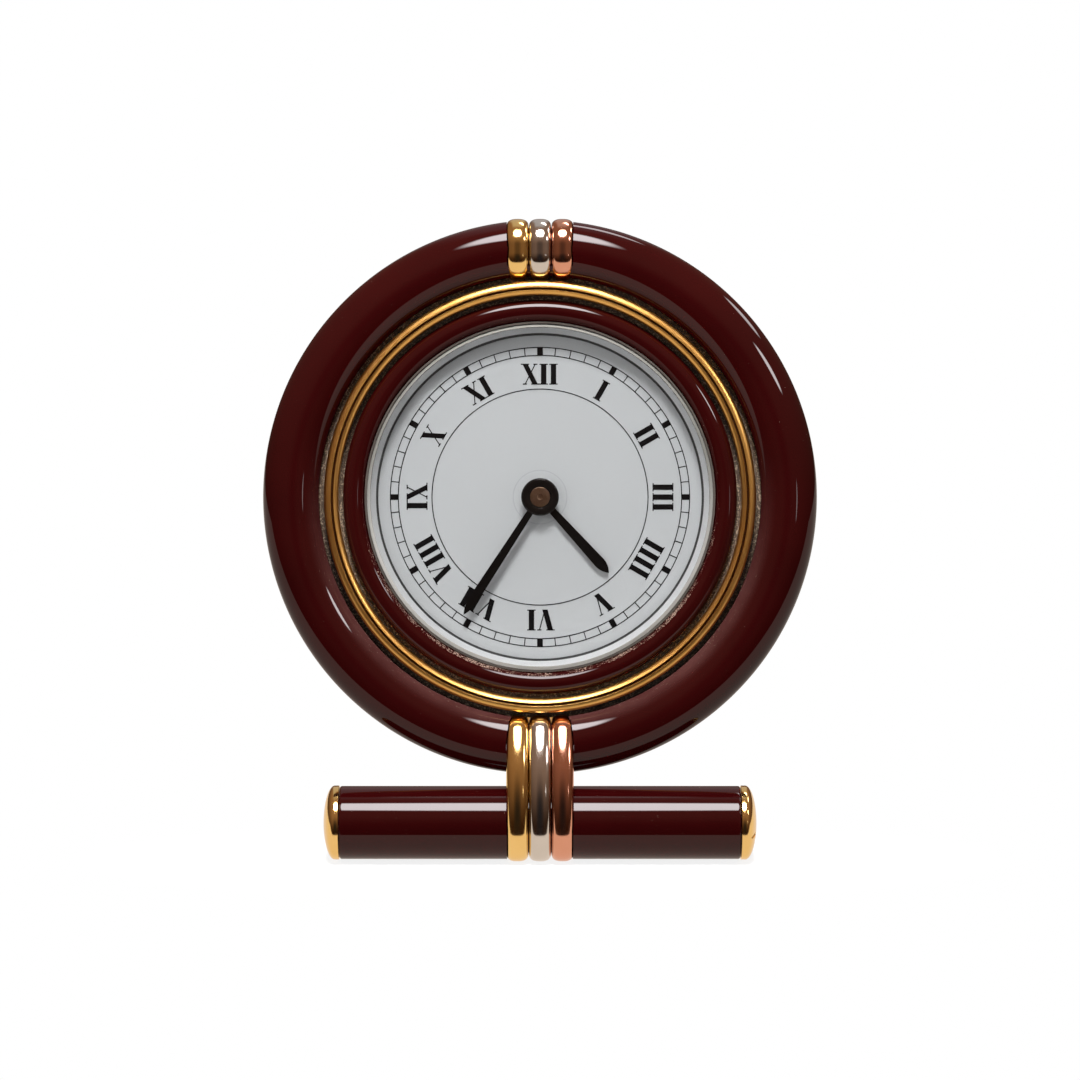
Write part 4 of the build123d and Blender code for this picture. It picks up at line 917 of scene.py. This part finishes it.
room_r = 3.0
room, shader, place = glow("dark_room")
x, y, z = [part / room_r for part in apart(place)]
air = tint(eased(z, -0.36, 0.7), (0.02, 0.006, 0.001), (0.27, 0.165, 0.115))
overhead = eased(y, -0.1, 0.25) * eased(abs(x), 0.15, 0.4, 1.0, 0.0) * (z > 0.3)
air = tint(overhead, air, (0.5, 0.46, 0.45))
level = (z + 0.02) * 0.55
from_camera = (x * x + level * level) ** 0.5
behind_camera = eased(from_camera, 0.02, 0.36, 0.9, 0.0) * (y < 0.0)
air = tint(behind_camera, air, (0.012, 0.012, 0.014))
table = (z - y * 0.49 < 0.0) * (z < -0.05)
tint(table, air, (0.84, 0.72, 0.63)).into(shader, "Emission Color")
bpy.ops.object.select_all(action="DESELECT")
bpy.ops.mesh.primitive_uv_sphere_add(segments=48, ring_count=24, radius=room_r)
dome = bpy.context.object
dome.name = "dark_room"
only_mirrored(dome, room)


# The background: white where the camera sees it. The light that it throws on the clock from
# all round is weaker.
world = bpy.data.worlds.new("studio_world")
bpy.context.scene.world = world
world.use_nodes = True
tree = world.node_tree
seen = tree.nodes.new("ShaderNodeLightPath")
by_camera = Shade(tree, seen.outputs["Is Camera Ray"])
backdrop = tree.nodes["Background"]
backdrop.inputs["Color"].default_value = (1.0, 1.0, 1.0, 1.0)
thrown = 0.35
(by_camera * (1.0 - thrown) + thrown).into(backdrop, "Strength")


# The lamps: a small strong one above and in front, and a large weak one on the left. What the
# clock mirrors of them and of the window is a set of bright faces with soft edges.
clock_middle = Vector(dial_middle)
key_height = math.radians(61.5)
toward_key = Vector((0.0, -math.cos(key_height), math.sin(key_height)))
key_distance = 0.52
face_distance = 0.5


def soft_light(name, from_clock, side, power):
    """A square lamp that points at the clock's middle and isn't mirrored."""
    lamp = bpy.data.lights.new(name, "AREA")
    lamp.shape = "SQUARE"
    lamp.size = side
    lamp.energy = power
    holder = bpy.data.objects.new(name, lamp)
    bpy.context.scene.collection.objects.link(holder)
    holder.location = clock_middle + from_clock
    holder.rotation_euler = (-from_clock).to_track_quat("-Z", "Y").to_euler()
    holder.visible_glossy = False


soft_light("key_light", toward_key * key_distance, side=0.14, power=9.6)
soft_light("left_fill", Vector((-0.5, -0.4, 0.2)), side=0.4, power=1.6)


def lamp_face(name, toward, width, height, strength):
    """A lamp's face as the lacquer and the gold mirror it, fading out towards its edges."""
    finish, shader, place = glow(name)
    shader.inputs["Emission Color"].default_value = (1.0, 0.95, 0.96, 1.0)
    shader.inputs["Emission Strength"].default_value = strength
    toward = Vector(toward).normalized()
    turn = toward.to_track_quat("Z", "Y").to_euler()
    middle = clock_middle + toward * face_distance
    on_face = place.node(
        "ShaderNodeMapping",
        {"vector_type": "TEXTURE"},
        {
            "Vector": place,
            "Location": middle,
            "Rotation": turn,
            "Scale": (width / 2.0, height / 2.0, 1.0),
        },
    )
    across, up, _ = apart(on_face)
    to_edge = (across * across + up * up) ** 0.5
    eased(to_edge, 0.7, 1.0, 1.0, 0.0).into(shader, "Alpha")
    bpy.ops.object.select_all(action="DESELECT")
    bpy.ops.mesh.primitive_plane_add(size=1.0)
    face = bpy.context.object
    face.name = name
    face.scale = (width, height, 1.0)
    face.rotation_euler = turn
    face.location = middle
    bpy.ops.object.transform_apply(location=True, rotation=True, scale=True)
    only_mirrored(face, finish)


lamp_face("main_lamp", toward_key, 0.27, 0.29, 22.0)
lamp_face("right_window", (0.718, -0.479, 0.505), 0.1, 0.1, 18.0)
lamp_face("window_edge", (0.736, 0.252, 0.628), 0.16, 0.1, 10.0)
lamp_face("high_lamp", (0.2, 0.43, 0.86), 0.2, 0.11, 9.0)
lamp_face("small_lamp", (0.545, -0.826, 0.146), 0.03, 0.05, 4.5)


# The camera looks straight at the dial, which leans back, so it stands above the horizon by as
# much. It aims a little under the dial's middle, so that the whole clock is in view.
camera_distance = 0.55
width_in_view = 144.3 * mm
below_middle = 5.76 * mm
up_dial = Vector((0.0, math.sin(lean), math.cos(lean)))
out_dial = Vector((0.0, -math.cos(lean), math.sin(lean)))
aim = clock_middle - up_dial * below_middle
camera_data = bpy.data.cameras.new("camera")
camera_data.sensor_width = 36.0
camera_data.lens = camera_data.sensor_width * camera_distance / width_in_view
camera_data.clip_start = 0.01
camera = bpy.data.objects.new("camera", camera_data)
bpy.context.scene.collection.objects.link(camera)
camera.location = aim + out_dial * camera_distance
camera.rotation_euler = (-out_dial).to_track_quat("-Z", "Y").to_euler()
bpy.context.scene.camera = camera
bpy.context.scene.view_settings.view_transform = "Standard"
